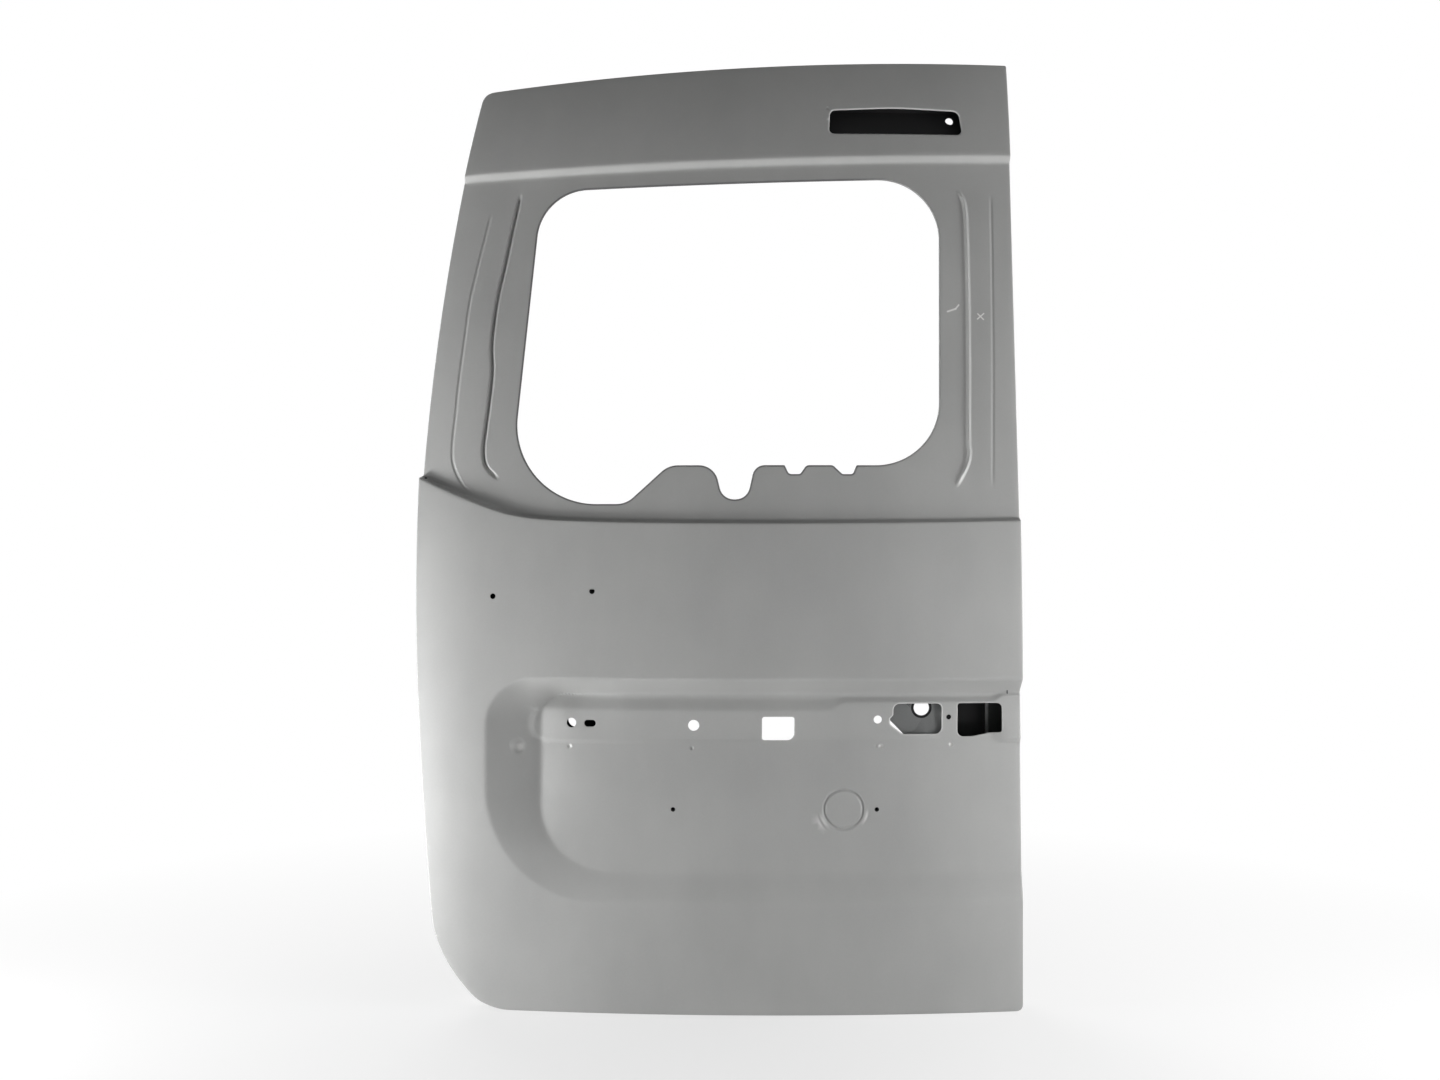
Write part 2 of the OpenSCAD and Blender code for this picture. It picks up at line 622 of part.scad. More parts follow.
// Closed bar: each station is a list of points, joined to the next one
module swept(stations) {
    m = len(stations[0]);
    n = len(stations);
    sides = [for (k = [0:n - 2]) for (i = [0:m - 1])
        let (a = k * m + i, b = k * m + (i + 1) % m, c = a + m, d = b + m) each
        [[a, b, d], [a, d, c]]];
    ends = [[for (i = [m - 1:-1:0]) i], [for (i = [0:m - 1]) (n - 1) * m + i]];
    polyhedron([for (s = stations) each s], concat(sides, ends));
}

seat_gap = 0.4;
bore_clear = 1;
// Hat-shaped rail behind the skin: [height over its foot, depth behind the skin]
hat_foot = 12;
hat_slope = 8;
function hat(h, d) = [[0, 0], [hat_foot, 0], [hat_foot + hat_slope, d],
                      [h - hat_foot - hat_slope, d], [h - hat_foot, 0], [h, 0]];
function rail_station(x, foot, path, zone) =
    let (back = [for (p = path) [x, skin_y(x, foot + p[0], zone) + skin_t + seat_gap + p[1], foot + p[0]]])
    concat(back, [for (k = [len(back) - 1:-1:0]) back[k] + [0, stiffener_t, 0]]);

// The rails run from the hinge wall to the meeting wall, short of the angles there
hinge_rail_inset = 126;
lock_rail_inset = 28;
rail_from_x = -hinge_x + hinge_rail_inset;
rail_to_x = meeting_x - lock_rail_inset;
belt_rail_h = 72;
belt_rail_d = 22;
belt_rail_drop = 79;
module belt_reinforcement() {
    color([0.5, 0.5, 0.5])
        swept([for (x = spaced(rail_from_x, rail_to_x, 14))
               rail_station(x, belt_h - belt_rail_drop, hat(belt_rail_h, belt_rail_d), 0)]);
}

header_rail_h = 56;
header_rail_d = 16;
header_rail_rise = 15;
module header_reinforcement() {
    color([0.5, 0.5, 0.5])
        swept([for (x = spaced(rail_from_x, lamp_x - 30, 10))
               rail_station(x, crease_h + header_rail_rise, hat(header_rail_h, header_rail_d), 2)]);
}

// Angle along a side wall of the inner panel, at height z
angle_w = 22;
angle_clear = 3;
function side_station(z, edge, side) =
    let (x0 = edge + side * (wall_w + seat_gap),
         y0 = skin_y(edge, z, 0) + hem_y + angle_clear,
         x1 = x0 + side * stiffener_t,
         x2 = x0 + side * angle_w,
         y1 = panel_face(x0, z) - seat_gap,
         y2 = panel_face(x2, z) - seat_gap)
    [[x0, y0, z], [x1, y0, z], [x1, y1 - stiffener_t, z],
     [x2, y2 - stiffener_t, z], [x2, y2, z], [x0, y1, z]];
side_low = lower_hinge_h - 70;
side_high = belt_h;
module hinge_side_reinforcement() {
    color([0.5, 0.5, 0.5])
        difference() {
            swept([for (z = spaced(side_low, side_high, 16)) side_station(z, lower_edge(z), 1)]);
            hinge_bores(upper_hinge_h, upper_hinge_y, hinge_bolt_d + bore_clear);
            hinge_bores(lower_hinge_h, lower_hinge_y, hinge_bolt_d + bore_clear);
            strap_bores(strap_bolt_d + bore_clear);
        }
}

module lock_side_reinforcement() {
    color([0.5, 0.5, 0.5])
        difference() {
            mirror([1, 0, 0])
                swept([for (z = spaced(side_low, side_high, 12))
                       [for (p = side_station(z, meeting_x, -1)) [-p[0], p[1], p[2]]]]);
            lock_bores(lock_bolt_d + bore_clear);
        }
}

// Plates on the outside of the inner panel's hinge wall, as long as l and as wide as w
hem_clear = 1;
hem_back = hem_y + skin_t + hem_clear;
function plate_heights(h, l) = spaced(h - l / 2, h + l / 2, 8);
function wall_plate_y(h, l, w) =
    max([for (z = plate_heights(h, l)) skin_y(lower_edge(z), z, 0)]) + hem_back + w / 2;
function wall_x(z) = lower_edge(z) + flange_w - panel_t - seat_gap;
function wall_seat_x(h, l, t) = min([for (z = plate_heights(h, l)) wall_x(z)]) - t;
module wall_plate(h, y, l, w, t) {
    seat_x = wall_seat_x(h, l, t);
    outline = concat([[seat_x, h - l / 2]], [for (z = plate_heights(h, l)) [wall_x(z), z]],
                     [[seat_x, h + l / 2]]);
    translate([0, y + w / 2, 0])
        rotate([90, 0, 0])
            linear_extrude(w) polygon(outline);
}
// Pair of bores along X on both sides of the height h
bore_l = 70;
module pair_bores(x, y, h, pitch, d)
    for (side = [-1, 1])
        translate([x, y, h + side * pitch / 2])
            rotate([0, 90, 0])
                cylinder(h = bore_l, d = d, $fn = 48);

upper_hinge_y = wall_plate_y(upper_hinge_h, hinge_plate_l, hinge_plate_w);
lower_hinge_y = wall_plate_y(lower_hinge_h, hinge_plate_l, hinge_plate_w);
strap_y = wall_plate_y(strap_h, strap_plate_l, strap_plate_w);
hinge_bore_x = -hinge_x - 20;
module hinge_bores(h, y, d) pair_bores(hinge_bore_x, y, h, hinge_bolt_pitch, d);
module strap_bores(d) pair_bores(hinge_bore_x, strap_y, strap_h, strap_bolt_pitch, d);
module hinge_plate(h, y) {
    color([0.6, 0.6, 0.6])
        difference() {
            wall_plate(h, y, hinge_plate_l, hinge_plate_w, hinge_plate_t);
            hinge_bores(h, y, hinge_bolt_d);
        }
}
module upper_hinge_plate() hinge_plate(upper_hinge_h, upper_hinge_y);
module lower_hinge_plate() hinge_plate(lower_hinge_h, lower_hinge_y);
module check_strap_plate() {
    color([0.6, 0.6, 0.6])
        difference() {
            wall_plate(strap_h, strap_y, strap_plate_l, strap_plate_w, strap_plate_t);
            strap_bores(strap_bolt_d);
        }
}

// Weld nuts on the angle behind the hinge wall
nut_t = 7;
hinge_nut_w = 16;
hinge_nut_d = 8;
small_nut_w = 13;
small_nut_d = 6;
module weld_nut(across, bore) {
    difference() {
        cylinder(h = nut_t, d = across, $fn = 6);
        translate([0, 0, -1]) cylinder(h = nut_t + 2, d = bore, $fn = 48);
    }
}
module wall_nuts(h, y, pitch, across, bore) {
    color([0.45, 0.45, 0.45])
        for (side = [-1, 1])
            let (z = h + side * pitch / 2,
                 wall = max(lower_edge(z - across / 2), lower_edge(z + across / 2)) + wall_w)
            translate([wall + 2 * seat_gap + stiffener_t, y, z])
                rotate([0, 90, 0])
                    weld_nut(across, bore);
}
module upper_hinge_nuts()
    wall_nuts(upper_hinge_h, upper_hinge_y, hinge_bolt_pitch, hinge_nut_w, hinge_nut_d);
module lower_hinge_nuts()
    wall_nuts(lower_hinge_h, lower_hinge_y, hinge_bolt_pitch, hinge_nut_w, hinge_nut_d);
module check_strap_nuts()
    wall_nuts(strap_h, strap_y, strap_bolt_pitch, small_nut_w, small_nut_d);

// Lock plate on the outside of the wall at the meeting edge
lock_y =
    max([for (z = plate_heights(lock_h, lock_plate_l)) skin_y(meeting_x, z, 0)])
    + hem_back + lock_plate_w / 2;
lock_wall_x = meeting_x - flange_w + panel_t + seat_gap;
module lock_bores(d) pair_bores(meeting_x - 50, lock_y, lock_h, lock_bolt_pitch, d);
module lock_plate() {
    color([0.6, 0.6, 0.6])
        difference() {
            translate([lock_wall_x, lock_y - lock_plate_w / 2, lock_h - lock_plate_l / 2])
                cube([lock_plate_t, lock_plate_w, lock_plate_l]);
            lock_bores(lock_bolt_d);
        }
}
module lock_nuts() {
    color([0.45, 0.45, 0.45])
        for (side = [-1, 1])
            translate([meeting_x - wall_w - 2 * seat_gap - stiffener_t, lock_y,
                       lock_h + side * lock_bolt_pitch / 2])
                rotate([0, -90, 0])
                    weld_nut(small_nut_w, small_nut_d);
}

// Tapped catch plates on the outside of the top and bottom walls
catch_x = meeting_x - catch_inset;
catch_xs = spaced(catch_x - catch_plate_l / 2, catch_x + catch_plate_l / 2, 6);
catch_lift = flange_w - panel_t - seat_gap;
top_catch_z = max([for (x = catch_xs) top_line(x)]) - catch_lift + catch_plate_t;
bottom_catch_z = catch_lift - catch_plate_t;
top_catch_y = max([for (x = catch_xs) skin_y(x, top_line(x), 2)]) + hem_back + catch_plate_w / 2;
bottom_catch_y = max([for (x = catch_xs) skin_y(x, 0, 0)]) + hem_back + catch_plate_w / 2;
catch_bore_l = 24;
module catch_bores(z, y, d)
    for (side = [-1, 1])
        translate([catch_x + side * catch_bolt_pitch / 2, y, z - catch_bore_l / 2])
            cylinder(h = catch_bore_l, d = d, $fn = 48);
module catch_plate(outline, y, z) {
    color([0.6, 0.6, 0.6])
        difference() {
            translate([0, y + catch_plate_w / 2, 0])
                rotate([90, 0, 0])
                    linear_extrude(catch_plate_w) polygon(outline);
            catch_bores(z, y, catch_bolt_d);
        }
}
module top_catch_plate() {
    outline = concat([[catch_xs[0], top_catch_z]],
                     [for (x = catch_xs) [x, top_line(x) - catch_lift]],
                     [[catch_xs[len(catch_xs) - 1], top_catch_z]]);
    catch_plate(outline, top_catch_y, top_catch_z);
}
module bottom_catch_plate() {
    outline = [[catch_xs[0], bottom_catch_z], [catch_xs[0], catch_lift],
               [catch_xs[len(catch_xs) - 1], catch_lift], [catch_xs[len(catch_xs) - 1], bottom_catch_z]];
    catch_plate(outline, bottom_catch_y, bottom_catch_z);
}

// Plate behind the handle aperture, seated on the skin by its bent foot
handle_plate_d = 8;
handle_plate_drop = 41;
handle_hole_d = 19;
module handle_reinforcement() {
    path = [[0, 0], [10, 0], [16, handle_plate_d], [74, handle_plate_d]];
    color([0.5, 0.5, 0.5])
        difference() {
            swept([for (x = spaced(handle_x - 7, handle_end_x + 13.5, 4))
                   rail_station(x, pad_h - handle_plate_drop, path, 0)]);
            drill_y(handle_x + 36.5, pad_h + 18.5, handle_hole_d);
        }
}

// Box that closes the stop-lamp slot from behind
pocket_d = 18;
pocket_edge = 14;
pocket_slope = 4;
pocket_flange = 8;
module lamp_pocket() {
    pocket_h = lamp_w + 2 * pocket_edge;
    inner = pocket_flange + pocket_slope;
    path = [[0, 0], [pocket_flange, 0], [inner, pocket_d], [pocket_h - inner, pocket_d],
            [pocket_h - pocket_flange, 0], [pocket_h, 0]];
    color([0.15, 0.15, 0.15])
        difference() {
            swept([for (x = spaced(lamp_x - pocket_edge, lamp_end_x + pocket_edge, 4))
                   rail_station(x, lamp_h - pocket_edge, path, 2)]);
            drill_y(lamp_end_x - 12, lamp_h + 24, 10);
        }
}

// Nuts for the plate screws
screw_nut_w = 14;
thread_depth = 0.8;
module plate_screw_nuts() {
    color([0.2, 0.2, 0.2])
        for (x = plate_screws)
            translate([x, skin_y(x, plate_screw_h, 0) + skin_t + seat_gap, plate_screw_h])
                rotate([-90, 0, 0])
                    weld_nut(screw_nut_w, plate_screw_d - 2 * thread_depth);
}

// Stiffening bar behind the lower face, held off it by mastic pads
bar_h = belt_h - 138;
bar_w = 34;
bar_stand = 3;
bar_d = 8;
bar_foot = 8;
bar_slope = 4;
bar_inset = 61;
bar_from_x = -hinge_x + bar_inset;
module anti_flutter_bar() {
    inner = bar_foot + bar_slope;
    path = [[0, bar_stand], [bar_foot, bar_stand], [inner, bar_stand + bar_d],
            [bar_w - inner, bar_stand + bar_d], [bar_w - bar_foot, bar_stand], [bar_w, bar_stand]];
    color([0.5, 0.5, 0.5])
        swept([for (x = spaced(bar_from_x, rail_to_x, 14)) rail_station(x, bar_h - bar_w / 2, path, 0)]);
}
pad_count = 6;
pad_d = 7;
pad_inset = 35;
module mastic_pads() {
    color([0.1, 0.1, 0.1])
        for (x = spaced(bar_from_x + pad_inset, rail_to_x - pad_inset, pad_count - 1))
            for (side = [-1, 1])
                let (z = bar_h + side * (bar_w - bar_foot) / 2)
                translate([x, skin_y(x, z, 0) + skin_t + seat_gap, z])
                    rotate([-90, 0, 0])
                        cylinder(h = bar_stand - seat_gap, d = pad_d, $fn = 24);
}

// The origin is on the outer face of the upper hinge plate
module in_place()
    translate(-[wall_seat_x(upper_hinge_h, hinge_plate_l, hinge_plate_t), upper_hinge_y, upper_hinge_h])
        children();

in_place() outer_skin();
in_place() inner_panel();
in_place() belt_reinforcement();
in_place() header_reinforcement();
in_place() hinge_side_reinforcement();
in_place() lock_side_reinforcement();
in_place() upper_hinge_plate();
in_place() lower_hinge_plate();
in_place() upper_hinge_nuts();
in_place() lower_hinge_nuts();
in_place() check_strap_plate();
in_place() check_strap_nuts();
in_place() top_catch_plate();
in_place() bottom_catch_plate();
in_place() handle_reinforcement();
in_place() lock_plate();
in_place() lock_nuts();
in_place() lamp_pocket();
in_place() plate_screw_nuts();
in_place() anti_flutter_bar();
in_place() mastic_pads();
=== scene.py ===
"""Rear barn door of a small camper van in grey primer, seen from outside.

Shapes are worked out in door coordinates, in millimetres: X from the datum
line, Y from the foremost point of the face into the vehicle, Z from the bottom
edge. The row's frame has its origin on the upper hinge plate, in metres.
"""
import math
import bpy
import numpy as np
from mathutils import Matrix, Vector
from mathutils.geometry import delaunay_2d_cdt


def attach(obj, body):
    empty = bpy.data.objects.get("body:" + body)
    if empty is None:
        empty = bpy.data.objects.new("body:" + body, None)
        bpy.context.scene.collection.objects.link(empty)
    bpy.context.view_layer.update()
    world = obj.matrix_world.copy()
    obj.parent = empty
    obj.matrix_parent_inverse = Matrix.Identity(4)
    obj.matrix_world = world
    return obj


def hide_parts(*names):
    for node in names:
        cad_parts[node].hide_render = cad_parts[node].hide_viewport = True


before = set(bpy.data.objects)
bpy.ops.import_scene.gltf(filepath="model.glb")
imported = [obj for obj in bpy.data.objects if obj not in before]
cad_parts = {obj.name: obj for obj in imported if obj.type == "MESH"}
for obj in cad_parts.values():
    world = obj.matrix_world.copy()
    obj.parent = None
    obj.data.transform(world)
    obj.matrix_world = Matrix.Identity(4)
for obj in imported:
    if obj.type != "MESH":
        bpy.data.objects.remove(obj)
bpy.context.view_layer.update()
MM = 0.001

# Door sizes, in millimetres
DOOR_H, MEETING_X, HINGE_X = 1180.0, 367.5, 376.0
BELT_H, CREASE_H, LEDGE_H, HEADER_LEDGE_H = 590.0, 1053.0, 5.0, 10.5
SHEET_T, SHEET_GAP, HEM_W = 1.0, 0.2, 9.0
HEM_Y, FOLD_D = 2 * SHEET_T + 2 * SHEET_GAP, 1.5
CROWN_X, CROWN_R, TURN_X, TURN_R = 72.0, 2500.0, 290.0, 400.0
LEAN_H, LEAN_R, BELT_STEP, WINDOW_SLOPE = 378.0, 1890.0, 9.5, 0.14
HEADER_STEP, HEADER_SLOPE, HEADER_R = 8.0, 0.18, 1100.0
RECESS = dict(left=-288.0, low=132.0, high=405.0, low_r=138.0, high_r=60.0)
RECESS_FLOOR = dict(left=-219.0, low=171.0, high=382.0, low_r=82.0, high_r=32.0)
RECESS_TOP_D, RECESS_BOTTOM_D = 24.0, 8.0
# The recess beside its left wall: where it starts, and over what run
BESIDE_X, BESIDE_RUN, CRISP = -110.0, 70.0, 0.13
VALLEY_T, VALLEY_RUN, VALLEY_H, VALLEY_RISE = 7.0, 24.0, 190.0, 80.0
PAD_X, PAD_LOW, PAD_HIGH, PAD_T, PAD_R = -227.0, 329.0, 363.0, 4.4, 16.0
PAD_SIDE, PAD_TOP, PAD_TOP_CUT, PAD_FOOT, PAD_LIFT, PAD_END_LIFT = 10.0, 17.0, 9.0, 7.0, 10.0, 7.0
# Height of the pad's lower edge: at its left, what it loses further on, and what its end adds
PAD_FOOT_T, PAD_FOOT_LOSS, PAD_FOOT_X, PAD_FOOT_RUN, PAD_END_T = 1.8, 2.0, -220.0, 200.0, 4.6
PAD_H = (PAD_LOW + PAD_HIGH) / 2
HANDLE_TOP = PAD_H + 26.0
WINDOW_LOW, SILL_H, WINDOW_HIGH = 615.0, 662.5, 1018.5
BOX_D, FRAME_D = 56.0, 36.0
LEFT_BELT, LEFT_TOP, LEFT_FOOT, FOOT_TURN_X = 647.7, 1137.0, 12.0, -297.6


def softened(d, r):
    """Ramp that is 0 well below 0 and d well above it, rounded over r."""
    return (d + np.sqrt(d * d + r * r)) / 2


def eased(t, end=0.2):
    """Ramp from 0 to 1 whose two ends are parabolas over the share end."""
    t = np.clip(t, 0, 1)
    k = 2 * end * (1 - end)
    return np.where(t < end, t * t / k,
                    np.where(t > 1 - end, 1 - (1 - t) ** 2 / k, (t - end / 2) / (1 - end)))


def belt_line(x):
    """Height of the belt crease: a circle of 14500 mm, rising at 0.42 more left of x = -255."""
    return BELT_H + (x - 40) ** 2 / 29000 + 0.42 * softened(-255 - x, 40)


def header_line(x):
    """Height of the header crease: it falls by 0.034 towards the hinge edge, crowned by 2 mm."""
    return CREASE_H - 0.034 * (MEETING_X - x) + 2 * (1 - (x / 360) ** 2)


def top_line(x):
    """Height of the top edge: a circle of 6250 mm that is level at the meeting edge."""
    return DOOR_H - (MEETING_X - x) ** 2 / 12500


def hinge_edge(z):
    """Hinge edge: one parabola under the belt crease and one over it, and the foot's corner."""
    lower = -HINGE_X + (z - 560) ** 2 / 9200 + np.maximum(0, 110 - z) ** 2 / 210
    upper = -HINGE_X + (z - 480) ** 2 / 6000
    return lower + (upper - lower) * eased((z - LEFT_BELT) / LEDGE_H)


def foot_line(x):
    """Foot of the door: level, and turning up by 12 mm into its rounded corner."""
    return 12 * (np.maximum(0, -256 - x) / 41.6) ** 2


def met(line, z):
    """Height at which a line over x meets the hinge edge near the height z."""
    for _ in range(8):
        z = float(line(hinge_edge(z)))
    return z


def plan(x):
    """Depth across the door: a crown of 2500 mm that turns in near the hinge edge."""
    return (x - CROWN_X) ** 2 / (2 * CROWN_R) + np.maximum(0, -TURN_X - x) ** 2 / (2 * TURN_R)


def lower_lean(z):
    """Lean of the lower face: upright, and from LEAN_H on a circle of radius LEAN_R."""
    return np.maximum(0, z - LEAN_H) ** 2 / (2 * LEAN_R)


def window_lean(z):
    """Lean of the window zone: set in by the belt's step, and a plane from there."""
    return lower_lean(BELT_H) + BELT_STEP + (z - BELT_H) * WINDOW_SLOPE


def header_lean(z):
    """Lean of the header: out by its step again, a slope and a circle of radius HEADER_R."""
    return (window_lean(CREASE_H) - HEADER_STEP
            + (z - CREASE_H) * HEADER_SLOPE + (z - CREASE_H) ** 2 / (2 * HEADER_R))


def open_box(x, z, left, low, high, low_r, high_r):
    """Signed distance to a box open to the right, with rounded corners on its left."""
    r = np.where(z < (low + high) / 2, low_r, high_r)
    qx = left + r - x
    qz = np.abs(z - (low + high) / 2) - (high - low) / 2 + r
    return np.hypot(np.maximum(qx, 0), np.maximum(qz, 0)) + np.minimum(np.maximum(qx, qz), 0) - r


def recess_depth(x, z):
    """Depth of the plate recess: 0 at its outer line, full at its floor line, eased between.

    The left wall keeps a crisp bend at both ends, and the floor sinks a little
    more along its foot.
    """
    out = -open_box(x, z, **RECESS)
    into = open_box(x, z, **RECESS_FLOOR)
    share = np.clip((z - RECESS["low"]) / (RECESS["high"] - RECESS["low"]), 0, 1)
    full = RECESS_BOTTOM_D + (RECESS_TOP_D - RECESS_BOTTOM_D) * share
    run = np.maximum(out + np.maximum(into, 0), 1e-6)
    beside = eased((BESIDE_X - x) / BESIDE_RUN)
    valley = VALLEY_T * beside * eased((z - VALLEY_H) / VALLEY_RISE)
    full = full + valley * np.exp(np.minimum(into, 0) / VALLEY_RUN)
    return np.where(out > 0, full * eased(out / run, 0.2 - CRISP * beside), 0)


def pad_rise(x):
    """Share by which the pad's top line has risen to the recess's top near the handle."""
    return eased((x - 130) / 24, 0.4)


def pad_end(x):
    """Share of the pad's end by the meeting edge, where it is plain and reaches highest."""
    return eased((x - 330) / 20, 0.4)


def pad_high(x):
    """Height of the pad's top line, which rises by two steps towards the meeting edge."""
    return PAD_HIGH + PAD_LIFT * pad_rise(x) + PAD_END_LIFT * pad_end(x)


def pad_top_edge(x):
    """Width of the edge over the pad's top line."""
    return PAD_TOP - PAD_TOP_CUT * pad_rise(x)


def pad_height(x, z):
    """Height of the handle pad: little at its lower edge and 4.4 mm at its upper one.

    It falls over a wide edge at its left end and its top, and over a narrow one
    where it has risen to the recess's top.
    """
    share = np.clip((z - PAD_LOW) / (PAD_HIGH - PAD_LOW), 0, 1)
    d = open_box(x, z - (pad_high(x) - PAD_HIGH) * share, PAD_X, PAD_LOW, PAD_HIGH, PAD_R, PAD_R)
    edge = np.where(z > PAD_HIGH, pad_top_edge(x), PAD_SIDE)
    edge = np.where(z < PAD_LOW, PAD_FOOT, edge)
    along = np.clip((x - PAD_FOOT_X) / PAD_FOOT_RUN, 0, 1)
    foot = PAD_FOOT_T - PAD_FOOT_LOSS * along + PAD_END_T * pad_end(x)
    return (foot + (PAD_T - foot) * share) * eased(1 - d / edge, 0.25)


def ledge(x, z):
    """Share of the window zone: 0 under the belt crease, 1 over its ledge."""
    return eased((z - belt_line(x)) / LEDGE_H, 0.3)


def header_share(x, z):
    """Share of the header: 0 under its crease, 1 over it."""
    return eased((z - header_line(x)) / HEADER_LEDGE_H + 0.5, 0.35)


def bare_face(x, z):
    """Depth of the face without its small forms: three zones joined by two ledges."""
    low = lower_lean(z) + recess_depth(x, z) - pad_height(x, z)
    window = window_lean(z)
    face = low + (window - low) * ledge(x, z)
    return plan(x) + face + (header_lean(z) - face) * header_share(x, z)


# Outlines and lines on the face
def resampled(line, step):
    """Points along a polyline, about step apart, both ends kept."""
    line = np.asarray(line, float)
    run = np.concatenate([[0], np.cumsum(np.hypot(*np.diff(line, axis=0).T))])
    n = max(2, int(round(run[-1] / step)) + 1)
    at = np.linspace(0, run[-1], n)
    return np.stack([np.interp(at, run, line[:, k]) for k in (0, 1)], 1)


def rounded(corners, step=2.0, least=5):
    """Closed outline, with an arc of the given radius at each corner (x, z, r)."""
    c = np.array([k[:2] for k in corners], float)
    parts = []
    for k, (x, z, r) in enumerate(corners):
        a = c[k - 1] - c[k]
        b = c[(k + 1) % len(c)] - c[k]
        a, b = a / np.hypot(*a), b / np.hypot(*b)
        half = math.acos(np.clip(a @ b, -1, 1)) / 2
        mid = (a + b) / np.hypot(*(a + b))
        centre = c[k] + mid * r / math.sin(half)
        start, stop = c[k] + a * r / math.tan(half) - centre, c[k] + b * r / math.tan(half) - centre
        turn = math.atan2(start[0] * stop[1] - start[1] * stop[0], start @ stop)
        n = max(least, int(abs(turn) * r / step) + 1)
        t = np.arctan2(start[1], start[0]) + turn * np.linspace(0, 1, n)
        parts.append(centre + r * np.stack([np.cos(t), np.sin(t)], 1))
    out = []
    for k, arc in enumerate(parts):
        follow = parts[(k + 1) % len(parts)][0]
        side = resampled([arc[-1], follow], step)
        out += [arc, side[1:-1]]
    return np.concatenate(out)


def circle(x, z, r, n=32):
    """Closed circle of n points, from its right and anticlockwise."""
    t = np.linspace(0, 2 * math.pi, n, endpoint=False)
    return np.stack([x + r * np.cos(t), z + r * np.sin(t)], 1)


def grown(loop, d):
    """Closed outline moved outwards by d, square to itself."""
    along = np.roll(loop, -1, 0) - np.roll(loop, 1, 0)
    along /= np.hypot(*along.T)[:, None]
    out = np.stack([along[:, 1], -along[:, 0]], 1)
    area = np.sum(loop[:, 0] * np.roll(loop[:, 1], -1) - loop[:, 1] * np.roll(loop[:, 0], -1))
    return loop + out * d * np.sign(area)


def spline(knots, step=2.5):
    """Smooth curve through the knots, as evenly spaced points."""
    k = np.asarray(knots, float)
    k = np.concatenate([[2 * k[0] - k[1]], k, [2 * k[-1] - k[-2]]])
    t = np.linspace(0, 1, 12, endpoint=False)[:, None]
    p0, p1, p2, p3 = (k[i:len(k) - 3 + i][:, None] for i in range(4))
    curve = 0.5 * (2 * p1 + (p2 - p0) * t + (2 * p0 - 5 * p1 + 4 * p2 - p3) * t ** 2
                   + (3 * p1 - p0 - 3 * p2 + p3) * t ** 3)
    return resampled(np.concatenate([curve.reshape(-1, 2), k[-2:-1]]), step)


def to_line(x, z, line, reach, closed=False):
    """Distance to a polyline, the side on which a point lies and its place along the line.

    Points farther than reach keep the value reach, and the side is positive on
    the left of the line's direction.
    """
    a = line if closed else line[:-1]
    b = np.roll(line, -1, 0) if closed else line[1:]
    run = np.concatenate([[0], np.cumsum(np.hypot(*(b - a).T))])
    far = np.full(x.shape, float(reach))
    side, place = np.ones(x.shape), np.zeros(x.shape)
    near = np.flatnonzero((x > line[:, 0].min() - reach) & (x < line[:, 0].max() + reach)
                          & (z > line[:, 1].min() - reach) & (z < line[:, 1].max() + reach))
    for part in np.array_split(near, max(1, len(near) * len(a) // 4_000_000)):
        if not len(part):
            continue
        px, pz = x[part][:, None] - a[:, 0], z[part][:, None] - a[:, 1]
        ab = b - a
        long = np.maximum((ab ** 2).sum(1), 1e-12)
        t = np.clip((px * ab[:, 0] + pz * ab[:, 1]) / long, 0, 1)
        dx, dz = px - t * ab[:, 0], pz - t * ab[:, 1]
        d = np.hypot(dx, dz)
        k = d.argmin(1)
        row = np.arange(len(part))
        far[part] = np.minimum(d[row, k], reach)
        side[part] = np.sign(ab[k, 0] * pz[row, k] - ab[k, 1] * px[row, k])
        place[part] = run[k] + t[row, k] * np.sqrt(long[k])
    return far, side, place


def window_left_x(z):
    """Left side of the window: a straight line that leans in by 0.089."""
    return -261 + 0.089 * (z - WINDOW_LOW)


def window_right_x(z):
    """Right side of the window: a straight line that leans out by 0.02."""
    return 268 + 0.02 * (z - WINDOW_LOW)


def window_top_z(x):
    """Top of the window: a straight line that rises by 0.028."""
    return WINDOW_HIGH + 0.028 * x


NOTCH_H = SILL_H - 11
WINDOW = rounded(
    [(window_left_x(WINDOW_LOW), WINDOW_LOW, 100), (-115, WINDOW_LOW, 30), (-63, SILL_H, 30),
     (-7, SILL_H, 24), (3, WINDOW_LOW + 5.5, 17.5), (33, WINDOW_LOW + 5.5, 17.5),
     (42.5, SILL_H, 15),
     (79, SILL_H, 2), (84, NOTCH_H, 5), (98, NOTCH_H, 4), (105.5, SILL_H, 7),
     (138, SILL_H, 6), (149.5, NOTCH_H, 5), (162.5, NOTCH_H, 4), (167, SILL_H, 2),
     (window_right_x(SILL_H), SILL_H, 80), (window_right_x(WINDOW_HIGH), window_top_z(268), 75),
     (window_left_x(WINDOW_HIGH), window_top_z(-261), 65)], 3.0)
LAMP = rounded([(137, 1082, 6), (306, 1083, 6), (302, 1114, 9), (221, 1117, 500),
                (139, 1113, 7)], 2.0)
HANDLE = rounded([(210.5, HANDLE_TOP, 8), (270, HANDLE_TOP, 6), (270, HANDLE_TOP - 37, 8),
                  (222, HANDLE_TOP - 37, 9), (206.5, HANDLE_TOP - 25, 6),
                  (206.5, HANDLE_TOP - 18, 2), (210.5, HANDLE_TOP - 14, 2)], 1.6)
GRIP = rounded([(289.5, HANDLE_TOP, 3), (344.5, HANDLE_TOP, 7), (344.5, HANDLE_TOP - 35.5, 3),
                (328, HANDLE_TOP - 36.5, 16), (308, HANDLE_TOP - 40.5, 30),
                (289.5, HANDLE_TOP - 40.5, 7)], 1.6)
